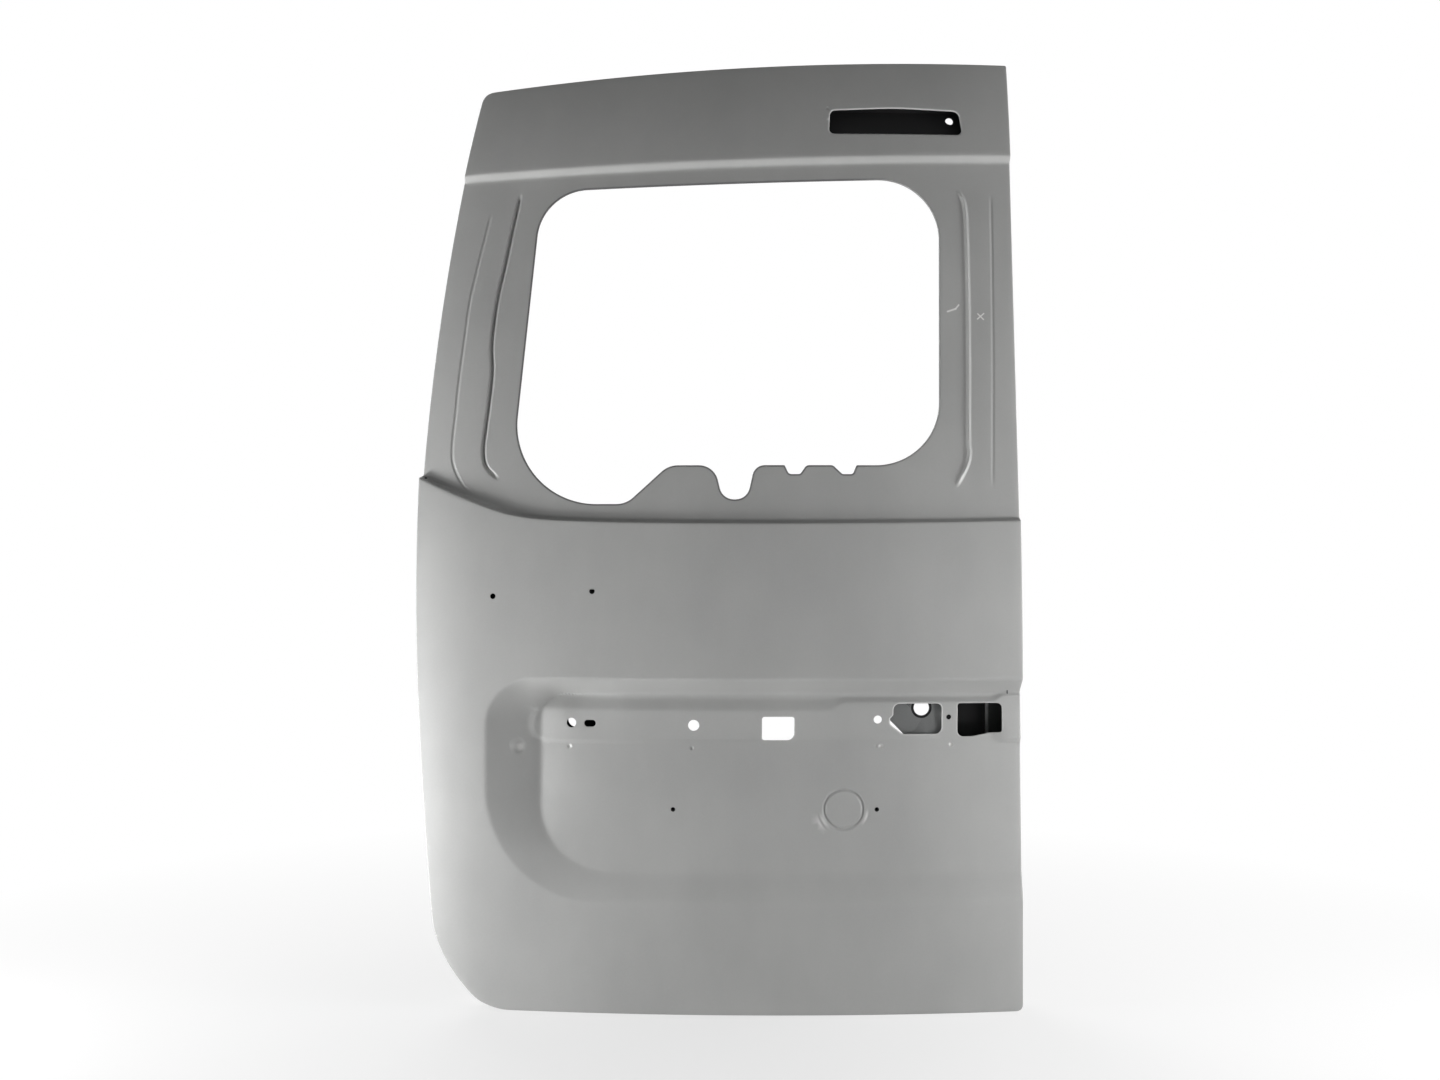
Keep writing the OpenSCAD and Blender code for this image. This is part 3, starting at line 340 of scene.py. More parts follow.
LEAD = rounded([(51, PAD_H + 10.5, 3), (90, PAD_H + 10.5, 3), (90, PAD_H - 18, 9),
                (51, PAD_H - 18, 3)], 1.8)
TRIM_SLOT = rounded([(-165.5, PAD_H - 2.5, 3.9), (-151.5, PAD_H - 2.5, 3.9),
                     (-151.5, PAD_H + 5.5, 3.9), (-165.5, PAD_H + 5.5, 3.9)], 1.2)
# Round holes of the skin: x, z, radius
SKIN_HOLES = [(-277, 502.5, 3.4), (-155, 509, 3.4), (-181.5, 348, 5.9), (-32, 346, 6.8),
              (191.5, 353, 5.0), (278.5, 355.5, 3.1), (-57, 244.5, 2.8), (190, 244.5, 2.8)]
# Punch marks of the skin: x, z, radius, depth
DIMPLES = [(-184, 319, 3.2, 1.6), (-34.7, 318.5, 3.0, 1.4), (195.3, 320.7, 3.2, 1.6),
           (189.8, 321, 2.2, 0.8), (281.5, 322, 3.0, 1.4), (135.5, 1115.5, 2.6, 1.2)]
CONE = (-247.6, 319.5, 10.5, 3.0)
DISC_X, DISC_Z, DISC_IN, GROOVE_T, GROOVE_HALF = 149.7, 245.0, 23.6, 1.7, 2.6
RIDGE_T, RIDGE_HALF, SWAGE_FADE = 0.9, 1.9, 16.0

# Swages of the window zone: knots, half width, depth
SWAGES = [
    ([(-252, 1012), (-256, 992), (-262, 962), (-271, 915), (-279.5, 873), (-285.5, 818), (-284.2, 781),
      (-287.6, 740), (-291.2, 708), (-293.3, 680), (-288.8, 661), (-272, 645)], 3.6, 3.3),
    ([(-290, 986), (-296, 958), (-306, 915), (-314.6, 874), (-320.6, 826), (-327.5, 763),
      (-330, 730), (-333.3, 692), (-332.3, 667), (-321.6, 643), (-308.7, 628)], 2.8, 0.9),
    ([(297, 1013), (304, 1004), (308.6, 985), (309.4, 930), (309.4, 872), (308, 780),
      (306, 694), (306.9, 679), (302.6, 661), (288, 634)], 3.4, -3.0),
    ([(342, 1009), (341, 900), (339, 780), (335, 634)], 2.8, 0.6),
]
SWAGE_LINES = [spline(knots) for knots, _, _ in SWAGES]
SWAGE_ACROSS = (-1.3, -1, -0.75, -0.5, -0.25, 0, 0.25, 0.5, 0.75, 1, 1.3)
# Ridges round the disc's groove: radius, middle of the arc and its half width in degrees
RIDGES = [(28.5, -150, 30), (33.5, -150, 26), (28.5, -20, 26)]
# Edges of apertures with a painted highlight: outline, reach, share
RIM_HIGHLIGHTS = [(LAMP, 2.2, 0.7), (HANDLE, 1.8, 0.8), (GRIP, 1.6, 0.3), (LEAD, 1.4, 0.4)]
# Width of the painted shade along the window's edge; width, place from the lower end and half length
# of the painted highlights on two swages
WINDOW_SHADE_W, SWAGE_HIGHLIGHT_W, SWAGE_HIGHLIGHT_AT, SWAGE_HIGHLIGHT_HALF = 2.6, 2.2, 16.0, 15.0
# Painted glints: bright spots, x, z, radius
GLINT_SPOTS = [(-184, 319, 3.4), (195.3, 320.7, 3.4), (281.5, 322, 3.4), (137, 1101, 2.6),
         (-244.5, 317.5, 6.0)]


def lip(d, r):
    """Edge rolled inwards: a quarter circle of radius r within r of the cut."""
    short = np.clip(r - d, 0, r)
    return r - np.sqrt(r * r - short * short)


def ridge(x, z, r, middle, half):
    """Share of a rounded arc of radius r about the disc's centre."""
    d = np.hypot(x - DISC_X, z - DISC_Z)
    angle = np.degrees(np.arctan2(z - DISC_Z, x - DISC_X))
    ends = eased(1 - np.abs(angle - middle) / half, 0.4)
    return np.clip(1 - ((d - r) / RIDGE_HALF) ** 2, 0, 1) * ends


# Rolled edges of the apertures: outline, radius
LIPS = [(LAMP, 1.8), (HANDLE, 1.3), (GRIP, 1.3), (LEAD, 0.8), (TRIM_SLOT, 0.8), (WINDOW, 1.6)]


def skin_face(x, z):
    """Depth of the outer skin: the bare face with its swages, marks, disc and rolled edges."""
    y = bare_face(x, z)
    for line, (_, half, depth) in zip(SWAGE_LINES, SWAGES):
        d, _, place = to_line(x, z, line, half)
        long = np.hypot(*np.diff(line, axis=0).T).sum()
        fade = eased(np.minimum(place, long - place) / SWAGE_FADE, 0.4)
        y = y + depth * fade * (1 - (d / half) ** 2) ** 2
    for cx, cz, r, depth in DIMPLES + [CONE]:
        y = y + depth * np.clip(1 - ((x - cx) ** 2 + (z - cz) ** 2) / r ** 2, 0, 1) ** 1.5
    d = np.hypot(x - DISC_X, z - DISC_Z)
    y = y + GROOVE_T * np.clip(1 - ((d - DISC_IN) / GROOVE_HALF) ** 2, 0, 1) ** 1.5
    for arc in RIDGES:
        y = y - RIDGE_T * ridge(x, z, *arc)
    for loop, r in LIPS:
        d, _, _ = to_line(x, z, loop, r, True)
        y = y + lip(d, r)
    return y


def painted_light_of(x, z):
    """Painted light of the skin: up to 1 for a painted highlight, down to -1 for painted shade.

    The edge of the window aperture gets painted shade, less near its right side; the edges
    of the smaller ones, the glint spots, the disc's ridges and the lower ends of two swages
    get painted highlights.
    """
    # Painted shade along the window's edge
    d, _, _ = to_line(x, z, WINDOW, WINDOW_SHADE_W, True)
    painted_light = -(0.25 + 0.65 * np.clip((230 - x) / 60, 0, 1)) * (1 - (d / WINDOW_SHADE_W) ** 2)
    # Painted highlights along the edges of the smaller apertures
    for loop, reach, share in RIM_HIGHLIGHTS:
        d, _, _ = to_line(x, z, loop, reach, True)
        painted_light = painted_light + share * (1 - d / reach)
    # Painted highlights at the lower ends of two swages
    for line in (SWAGE_LINES[0], SWAGE_LINES[2]):
        d, _, place = to_line(x, z, line, SWAGE_HIGHLIGHT_W)
        left = np.hypot(*np.diff(line, axis=0).T).sum() - place
        near = eased(1 - np.abs(left - SWAGE_HIGHLIGHT_AT) / SWAGE_HIGHLIGHT_HALF, 0.4)
        painted_light = painted_light + (1 - d / SWAGE_HIGHLIGHT_W) * near
    # Painted glints at the spots
    for cx, cz, r in GLINT_SPOTS:
        painted_light = painted_light + np.clip(1.5 - 1.5 * np.hypot(x - cx, z - cz) / r, 0, 1)
    # Painted highlights on the disc's ridges
    for arc in RIDGES:
        painted_light = painted_light + 0.6 * ridge(x, z, *arc)
    return np.clip(painted_light, -1, 1)


# Outline of the door
def door_outline(step=3.5):
    """Closed outline of the door, and for each point its corner's radius and diagonal.

    Four sides run from the foot round by the meeting edge, and a curve that
    starts the radius before each corner and ends the radius after it joins them.
    """
    def heights(low, high, ledges):
        """Heights up a side, closer together over each ledge."""
        fine = [np.arange(at - 5, at + 10, 0.8) for at in ledges]
        z = np.arange(low, high, step)
        for band in fine:
            z = z[(z < band[0] - 1) | (z > band[-1] + 1)]
        return np.sort(np.concatenate([[low, high], z[1:], *fine]))

    foot_x = np.linspace(FOOT_TURN_X, MEETING_X, 400)
    foot = resampled(np.stack([foot_x, foot_line(foot_x)], 1), step)
    z = heights(0, DOOR_H, [belt_line(MEETING_X), header_line(MEETING_X) - 2.5])
    right = np.stack([np.full(len(z), MEETING_X), z], 1)
    corner = met(top_line, 1140)
    top = np.linspace(MEETING_X, hinge_edge(corner), 300)
    top = resampled(np.stack([top, top_line(top)], 1), step)
    z = heights(LEFT_FOOT, corner, [LEFT_BELT, met(header_line, 1030) - 2.5])[::-1]
    left = np.stack([hinge_edge(z), z], 1)
    sides, radii = [foot, right, top, left], [9.0, 3.0, 14.0, 8.0]
    points, limits, diagonals = [], [], []
    for k, side in enumerate(sides):
        follow, r, before = sides[(k + 1) % 4], radii[k], radii[k - 1]
        run = np.concatenate([[0], np.cumsum(np.hypot(*np.diff(side, axis=0).T))])
        inner = side[(run > before + 0.5) & (run < run[-1] - r - 0.5)]
        a = np.array([np.interp(run[-1] - r, run, side[:, i]) for i in (0, 1)])
        fr = np.concatenate([[0], np.cumsum(np.hypot(*np.diff(follow, axis=0).T))])
        b = np.array([np.interp(r, fr, follow[:, i]) for i in (0, 1)])
        t = np.linspace(0, 1, 7)[:, None]
        arc = (1 - t) ** 2 * a + 2 * t * (1 - t) * side[-1] + t ** 2 * b
        into = (a + b) / 2 - side[-1]
        ua, ub = ((end - side[-1]) / np.hypot(*(end - side[-1])) for end in (a, b))
        sine = math.sin(math.acos(np.clip(ua @ ub, -1, 1)) / 2)
        points += [inner, arc]
        limits += [np.full(len(inner), 1e3), np.full(len(arc), r * 0.8)]
        diagonals += [np.zeros((len(inner), 2)),
                      np.repeat([into / max(np.hypot(*into), 1e-9) / sine], len(arc), 0)]
    return np.concatenate(points), np.concatenate(limits), np.concatenate(diagonals)


OUTLINE, CORNER_LIMIT, CORNER_WAY = door_outline()


def inset(d):
    """The door's outline moved inwards by d, gathered towards the diagonal in tight corners."""
    short = np.minimum(d, CORNER_LIMIT)
    return OUTLINE + (OUTLINE - grown(OUTLINE, 1.0)) * short[:, None] \
        + CORNER_WAY * (d - short)[:, None]


# Sheets as meshes
def triangulated(loops, points):
    """Triangles over the area between the loops: flat points, triangles, places of the loops."""
    flat = np.concatenate(loops + [points])
    ends = np.cumsum([0] + [len(l) for l in loops])
    edges = np.concatenate([np.stack([np.arange(a, b), np.roll(np.arange(a, b), -1)], 1)
                            for a, b in zip(ends[:-1], ends[1:])])
    verts, _, faces, origin, _, _ = delaunay_2d_cdt(flat.tolist(), edges.tolist(), [], 0, 1e-5)
    verts = np.array([tuple(v) for v in verts])
    tris = np.array(faces)
    place = np.zeros(len(flat), int)
    for k, found in enumerate(origin):
        place[found] = k
    centre = verts[tris].mean(1)
    inside = np.zeros(len(tris), bool)
    a, b = flat[edges[:, 0]], flat[edges[:, 1]]
    for part in np.array_split(np.arange(len(tris)), len(tris) // 1500 + 1):
        cx, cz = centre[part, 0][:, None], centre[part, 1][:, None]
        cross = (a[:, 1] > cz) != (b[:, 1] > cz)
        at = a[:, 0] + (cz - a[:, 1]) * (b[:, 0] - a[:, 0]) / np.where(cross, b[:, 1] - a[:, 1], 1)
        inside[part] = (cross & (cx < at)).sum(1) % 2 == 1
    tris = tris[inside]
    p, q, s = (verts[tris[:, k]] for k in range(3))
    area = (q[:, 0] - p[:, 0]) * (s[:, 1] - p[:, 1]) - (q[:, 1] - p[:, 1]) * (s[:, 0] - p[:, 0])
    tris[area < 0] = tris[area < 0][:, ::-1]
    return verts, tris[np.abs(area) > 1e-6], [place[a:b] for a, b in zip(ends[:-1], ends[1:])]


def normals_of(points, tris):
    """Unit normals of the points: the sum of the normals of the triangles round each."""
    n = np.cross(points[tris[:, 1]] - points[tris[:, 0]], points[tris[:, 2]] - points[tris[:, 0]])
    total = np.stack([np.bincount(tris.ravel(), np.repeat(n[:, k], 3), len(points))
                      for k in range(3)], 1)
    return total / np.maximum(np.linalg.norm(total, axis=1), 1e-12)[:, None]


def clear_of(points, lines):
    """Points that keep their distance from each (line, distance, closed)."""
    keep = np.ones(len(points), bool)
    for line, reach, closed in lines:
        keep &= to_line(points[:, 0], points[:, 1], line, reach, closed)[0] >= reach * 0.999
    return points[keep]


def thinned(points, cell=0.7):
    """One point for each square cell."""
    _, first = np.unique(np.round(points / cell).astype(int), axis=0, return_index=True)
    return points[np.sort(first)]


def pressed_sheet(flat, tris, loops, face, rim=None):
    """Closed sheet on a flat triangulation: front at depth face, back SHEET_T behind it.

    Each hole's edge is a band from front to back. The outer edge is a band too,
    or rim, a list of point rings that the edge runs over on its way to the back.
    Returns points, triangles and the material place of each triangle.
    """
    front = np.stack([flat[:, 0], face, flat[:, 1]], 1)
    back = front - normals_of(front, tris) * SHEET_T
    n = len(front)
    points, all_tris = [front, back], [tris, tris[:, ::-1] + n]
    kinds = [np.zeros(len(tris), int), np.ones(len(tris), int)]
    half = np.concatenate([tris[:, [0, 1]], tris[:, [1, 2]], tris[:, [2, 0]]])
    code, back_code = half[:, 0] * n + half[:, 1], half[:, 1] * n + half[:, 0]
    edge = half[~np.isin(code, back_code)]
    on_rim = np.isin(edge[:, 0], loops[0]) & np.isin(edge[:, 1], loops[0])
    rings = [np.arange(n)]
    count = 2 * n
    slot_of = np.zeros(n, int)
    slot_of[loops[0]] = np.arange(len(loops[0]))
    for ring in rim or []:
        points.append(ring)
        rings.append(slot_of + count)
        count += len(ring)
    rings.append(np.arange(n) + n)
    for group, path in ((edge[~on_rim], [rings[0], rings[-1]]), (edge[on_rim], rings)):
        a, b = group.T
        for p, q in zip(path[:-1], path[1:]):
            all_tris += [np.stack([p[b], p[a], q[a]], 1), np.stack([p[b], q[a], q[b]], 1)]
            kinds += [np.full(2 * len(a), 2 if len(path) == 2 else 3)]
    return np.concatenate(points), np.concatenate(all_tris), np.concatenate(kinds)


LOCK_ANGLE_X = MEETING_X - 37.4
# The row's origin on the upper hinge plate, which stands 15 mm behind the hem there
ORIGIN_X, ORIGIN_Z = -369.397, 545.0
hinge_z = np.linspace(505, 585, 9)
ORIGIN_Y = float(bare_face(hinge_edge(hinge_z), hinge_z).max()) + HEM_Y + SHEET_T + 15
ORIGIN = np.array([ORIGIN_X, ORIGIN_Y, ORIGIN_Z])


def new_piece(name, points, faces, materials, kinds=None, painted_light=None):
    """Object at the origin from points in door millimetres, with its materials by face.

    The attribute holds the painted highlight and shade for each of the first points.
    """
    mesh = bpy.data.meshes.new(name)
    mesh.from_pydata(((points - ORIGIN) * MM).tolist(), [], faces.tolist())
    for m in materials:
        mesh.materials.append(m)
    if kinds is not None:
        mesh.polygons.foreach_set("material_index", kinds.astype(np.int32))
    mesh.polygons.foreach_set("use_smooth", np.ones(len(mesh.polygons), bool))
    mesh.validate()
    mesh.set_sharp_from_angle(angle=math.radians(38))
    # Painted highlight and shade, one value for each point
    if painted_light is not None:
        values = np.zeros(len(mesh.vertices), np.float32)
        values[:len(painted_light)] = painted_light
        mesh.attributes.new("painted_light", "FLOAT", "POINT").data.foreach_set("value", values)
    piece = bpy.data.objects.new(name, mesh)
    bpy.context.scene.collection.objects.link(piece)
    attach(piece, "root")
    return piece


# Finishes
class Sum:
    """Number on a shader's wire: plain arithmetic on it adds Math nodes."""

    def __init__(self, tree, socket):
        self.tree, self.socket = tree, socket

    def node(self, kind, settings=(), **sockets):
        """Node with its settings first, then its sockets, by name or as i and a number."""
        node = self.tree.nodes.new(kind)
        for key, value in dict(settings).items():
            setattr(node, key, value)
        for key, value in sockets.items():
            by_number = key[1:].isdigit()
            place = node.inputs[int(key[1:]) if by_number else key.replace("_", " ")]
            if isinstance(value, Sum):
                self.tree.links.new(value.socket, place)
            else:
                place.default_value = value
        return node

    def math(self, operation, *values):
        """Math node on the values."""
        node = self.node("ShaderNodeMath", {"operation": operation},
                         **{f"i{k}": v for k, v in enumerate(values)})
        return Sum(self.tree, node.outputs[0])

    def __add__(self, other):
        return self.math("ADD", self, other)

    def __radd__(self, other):
        return self.math("ADD", other, self)

    def __sub__(self, other):
        return self.math("SUBTRACT", self, other)

    def __rsub__(self, other):
        return self.math("SUBTRACT", other, self)

    def __mul__(self, other):
        return self.math("MULTIPLY", self, other)

    def __rmul__(self, other):
        return self.math("MULTIPLY", other, self)

    def clamped(self):
        """The number kept between 0 and 1."""
        return self.math("MINIMUM", self.math("MAXIMUM", self, 0.0), 1.0)

    def root(self):
        """Square root of the number."""
        return self.math("SQRT", self)


class Finish:
    """Material on Object coordinates, with the patterns that the finishes share."""

    def __init__(self, name):
        self.material = bpy.data.materials.new(name)
        self.material.use_nodes = True
        tree = self.material.node_tree
        self.tree = tree
        self.shader = tree.nodes["Principled BSDF"]
        self.kit = Sum(tree, None)
        place = tree.nodes.new("ShaderNodeTexCoord")
        self.place = Sum(tree, place.outputs["Object"])
        split = self.kit.node("ShaderNodeSeparateXYZ", i0=self.place)
        self.x, self.y, self.z = (Sum(tree, split.outputs[k]) for k in range(3))

    def noise(self, scale, detail=2.0, rough=0.5, stretch=None):
        """Noise from about 0 to 1 with the given scale, per metre."""
        at = self.place
        if stretch:
            node = self.kit.node("ShaderNodeMapping", i0=at, Scale=stretch)
            at = Sum(self.tree, node.outputs[0])
        node = self.kit.node("ShaderNodeTexNoise", Vector=at, Scale=scale, Detail=detail,
                             Roughness=rough)
        return Sum(self.tree, node.outputs["Fac"])

    def given(self, name):
        """Number that a piece's mesh holds for each point, 0 where it has none."""
        node = self.kit.node("ShaderNodeAttribute", {"attribute_name": name})
        return Sum(self.tree, node.outputs["Fac"])

    def cells(self, scale):
        """Distance from the middle of each crystal, with the given scale, per metre."""
        node = self.kit.node("ShaderNodeTexVoronoi", Vector=self.place, Scale=scale)
        return Sum(self.tree, node.outputs["Distance"])

    def between(self, share, low, high):
        """Colour between two colours, low at share 0 and high at 1."""
        node = self.kit.node("ShaderNodeMix", {"data_type": "RGBA"}, i0=share)
        for key, value in ((6, low), (7, high)):
            if isinstance(value, Sum):
                self.tree.links.new(value.socket, node.inputs[key])
            else:
                node.inputs[key].default_value = (*value, 1.0)
        return Sum(self.tree, node.outputs[2])

    def scratch(self, x1, z1, x2, z2, width):
        """Mask of a straight scratch between two points of the face, in door millimetres."""
        ax, az = (x1 - ORIGIN_X) * MM, (z1 - ORIGIN_Z) * MM
        bx, bz = (x2 - x1) * MM, (z2 - z1) * MM
        px, pz = self.x - ax, self.z - az
        t = ((px * bx + pz * bz) * (1 / (bx * bx + bz * bz))).clamped()
        dx, dz = px - t * bx, pz - t * bz
        return (1.0 - (dx * dx + dz * dz).root() * (1 / (width * MM))).clamped()

    def feed(self, colour, roughness, height, strength, distance):
        """The finished material: colour, roughness and the height of its small relief."""
        self.tree.links.new(colour.socket, self.shader.inputs["Base Color"])
        self.tree.links.new(roughness.socket, self.shader.inputs["Roughness"])
        bump = self.kit.node("ShaderNodeBump", Height=height, Strength=strength, Distance=distance)
        self.tree.links.new(bump.outputs["Normal"], self.shader.inputs["Normal"])
        return self.material


# Scratches beside the window: from x, z to x, z, and half width
SCRATCHES = [(283.5, 855.5, 293.5, 859.0, 1.7), (293.5, 859.0, 297.5, 864.0, 1.4),
             (321, 846.5, 329, 853.5, 1.2), (321.5, 853, 328.5, 846, 1.2)]


def primer(name, dark, light, scratches_and_painted_light=False):
    """Satin grey primer: cloudy film build, fine grain, faint rubbing and orange peel, and on request
    scratches with the mesh's painted highlight and shade.
    """
    f = Finish(name)
    cloud = f.noise(5.0, 3.0, 0.55)
    streak = f.noise(14.0, 3.0, 0.6, (1.0, 1.0, 0.35))
    grain = f.noise(520.0, 2.0, 0.6)
    share = cloud * 0.55 + streak * 0.3 + grain * 0.15
    colour = f.between(((share - 0.3) * 2.5).clamped(), dark, light)
    rub = ((f.noise(60.0, 5.0, 0.75) - 0.66) * 9.0).clamped()
    colour = f.between(rub * 0.12, colour, (0.55, 0.55, 0.54))
    if scratches_and_painted_light:
        # Painted highlight where the mesh's value is above 0, painted shade where it is below
        painted_light = f.given("painted_light")
        colour = f.between(painted_light.clamped(), colour, (0.72, 0.72, 0.71))
        colour = f.between((0.0 - painted_light).clamped(), colour, (0.03, 0.03, 0.032))
        marked = f.scratch(*SCRATCHES[0])
        for line in SCRATCHES[1:]:
            marked = marked + f.scratch(*line)
        colour = f.between((marked * 1.4).clamped(), colour, (0.8, 0.8, 0.78))
    rough = 0.4 + cloud * 0.1 + grain * 0.05
    peel = f.noise(420.0, 2.0, 0.5) + grain * 0.35
    return f.feed(colour, rough, peel, 0.12, 0.0004)


def shaded(name, edge_x=None):
    """Near-black finish, painted shade for parts in shadow inside the door, with a painted highlight
    along a free edge at edge_x.
    """
    f = Finish(name)
    f.shader.inputs["Specular IOR Level"].default_value = 0.3
    runs = f.noise(22.0, 3.0, 0.6, (1.0, 1.0, 0.3))
    speck = f.noise(260.0, 3.0, 0.7)
    colour = f.between(runs * 0.6 + speck * 0.4, (0.035, 0.037, 0.037), (0.10, 0.105, 0.104))
    if edge_x is not None:
        # Painted highlight: a pale streak along the free edge at edge_x
        off = (f.x * (1 / MM) - (edge_x + 1.2 - ORIGIN_X)) * 0.35
        colour = f.between((1.3 - off * off).clamped(), colour, (0.85, 0.85, 0.84))
    return f.feed(colour, 0.5 + speck * 0.2, speck, 0.12, 0.0005)


def shade_black(name):
    """Near-black dull finish, painted shade for surfaces in shadow inside the door, with soft runs."""
    f = Finish(name)
    f.shader.inputs["Specular IOR Level"].default_value = 0.2
    runs = f.noise(30.0, 3.0, 0.6, (1.0, 1.0, 0.2))
    colour = f.between(runs, (0.006, 0.006, 0.0065), (0.02, 0.02, 0.021))
    return f.feed(colour, 0.6 + runs * 0.2, runs, 0.15, 0.001)


def zinc(name):
    """Zinc plating: bright, with small crystals and dull spots."""
    f = Finish(name)
    f.shader.inputs["Metallic"].default_value = 1.0
    edge = f.cells(420.0)
    dull = f.noise(90.0, 4.0, 0.6)
    colour = f.between((edge * 1.2).clamped(), (0.42, 0.43, 0.45), (0.62, 0.63, 0.65))
    return f.feed(colour, 0.3 + dull * 0.3, edge, 0.2, 0.0003)


def mastic(name):
    """Expanded mastic: black, dry and slightly foamed."""
    f = Finish(name)
    foam = f.noise(700.0, 4.0, 0.7)
    colour = f.between(foam, (0.02, 0.02, 0.02), (0.06, 0.06, 0.058))
    return f.feed(colour, 0.75 + foam * 0.2, foam, 0.5, 0.001)


PRIMER = primer("grey_primer", (0.34, 0.342, 0.338), (0.42, 0.422, 0.415), True)
# Darker copy of the grey primer: painted shade for the plate behind the handle aperture
HANDLE_SHADED_GREY = primer("handle_plate_shaded_primer", (0.13, 0.135, 0.135), (0.2, 0.205, 0.203))
INNER_PRIMER = primer("inner_primer", (0.31, 0.312, 0.308), (0.39, 0.392, 0.386))
# Painted shade: black for surfaces in shadow inside the door
SHADE_BLACK = shade_black("painted_shade_black")
ZINC = zinc("zinc_plate")
MASTIC = mastic("mastic")
# Painted shade: near-black finishes for parts in shadow, one with a painted highlight on its edge
SHADED = shaded("painted_shade_coat")
SHADED_ANGLE = shaded("painted_shade_angle", LOCK_ANGLE_X)


# Outer skin
def coons(cols, rows):
    """Grid over the door's outline: each row runs from the hinge edge to the meeting edge."""
    s, z0 = np.meshgrid(cols, rows)
    top_share = z0 / DOOR_H
    z = z0
    for _ in range(4):
        x = hinge_edge(np.clip(z, LEFT_FOOT, LEFT_TOP)) * (1 - s) + MEETING_X * s
        low, high = foot_line(x), top_line(x)
        z = low + (high - low) * top_share
    return np.stack([x.ravel(), z.ravel()], 1)


def stepped(spans):
    """Values from spans (from, to, step)."""
    return np.unique(np.concatenate([np.linspace(a, b, max(2, int(round((b - a) / s)) + 1))
                                     for a, b, s in spans]).round(4))


def recess_contours(step=4.0):
    """Lines along the recess's wall, from outside its outer line to within its floor line."""
    lines = []
    for f in (-0.04, 0, 0.04, 0.08, 0.13, 0.2, 0.3, 0.45, 0.6, 0.72, 0.82, 0.89, 0.94, 0.97, 1.0,
              1.05, 1.12, 1.22, 1.36, 1.5):
        p = {k: RECESS[k] + (RECESS_FLOOR[k] - RECESS[k]) * f for k in RECESS}
        arc_low = circle(p["left"] + p["low_r"], p["low"] + p["low_r"], p["low_r"], 240)[120:181]
        arc_high = circle(p["left"] + p["high_r"], p["high"] - p["high_r"], p["high_r"], 240)[60:121]
        line = np.concatenate([[(MEETING_X - 3, p["low"])], arc_low[::-1], arc_high[::-1],
                               [(MEETING_X - 3, p["high"])]])
        lines.append(resampled(line, step))
    return lines


def pad_contours(step=4.0):
    """Lines along the pad's edge, from within its top to its foot."""
    lines = []
    x = np.linspace(PAD_X + 18, MEETING_X - 3, 200)
    for f in (-0.1, 0, 0.12, 0.25, 0.5, 0.75, 0.88, 1):
        nose = circle(PAD_X + 17, PAD_H, 17 + PAD_SIDE * f, 120)[30:91]
        upper = np.stack([x, pad_high(x) + pad_top_edge(x) * f], 1)[::-1]
        lower = np.stack([x, np.full(len(x), PAD_LOW - PAD_FOOT * f)], 1)
        lines.append(resampled(np.concatenate([upper, nose, lower]), step))
    return lines


def inside(line):
    """The points of a line that lie inside the hinge edge."""
    return line[line[:, 0] > hinge_edge(line[:, 1]) + 3]


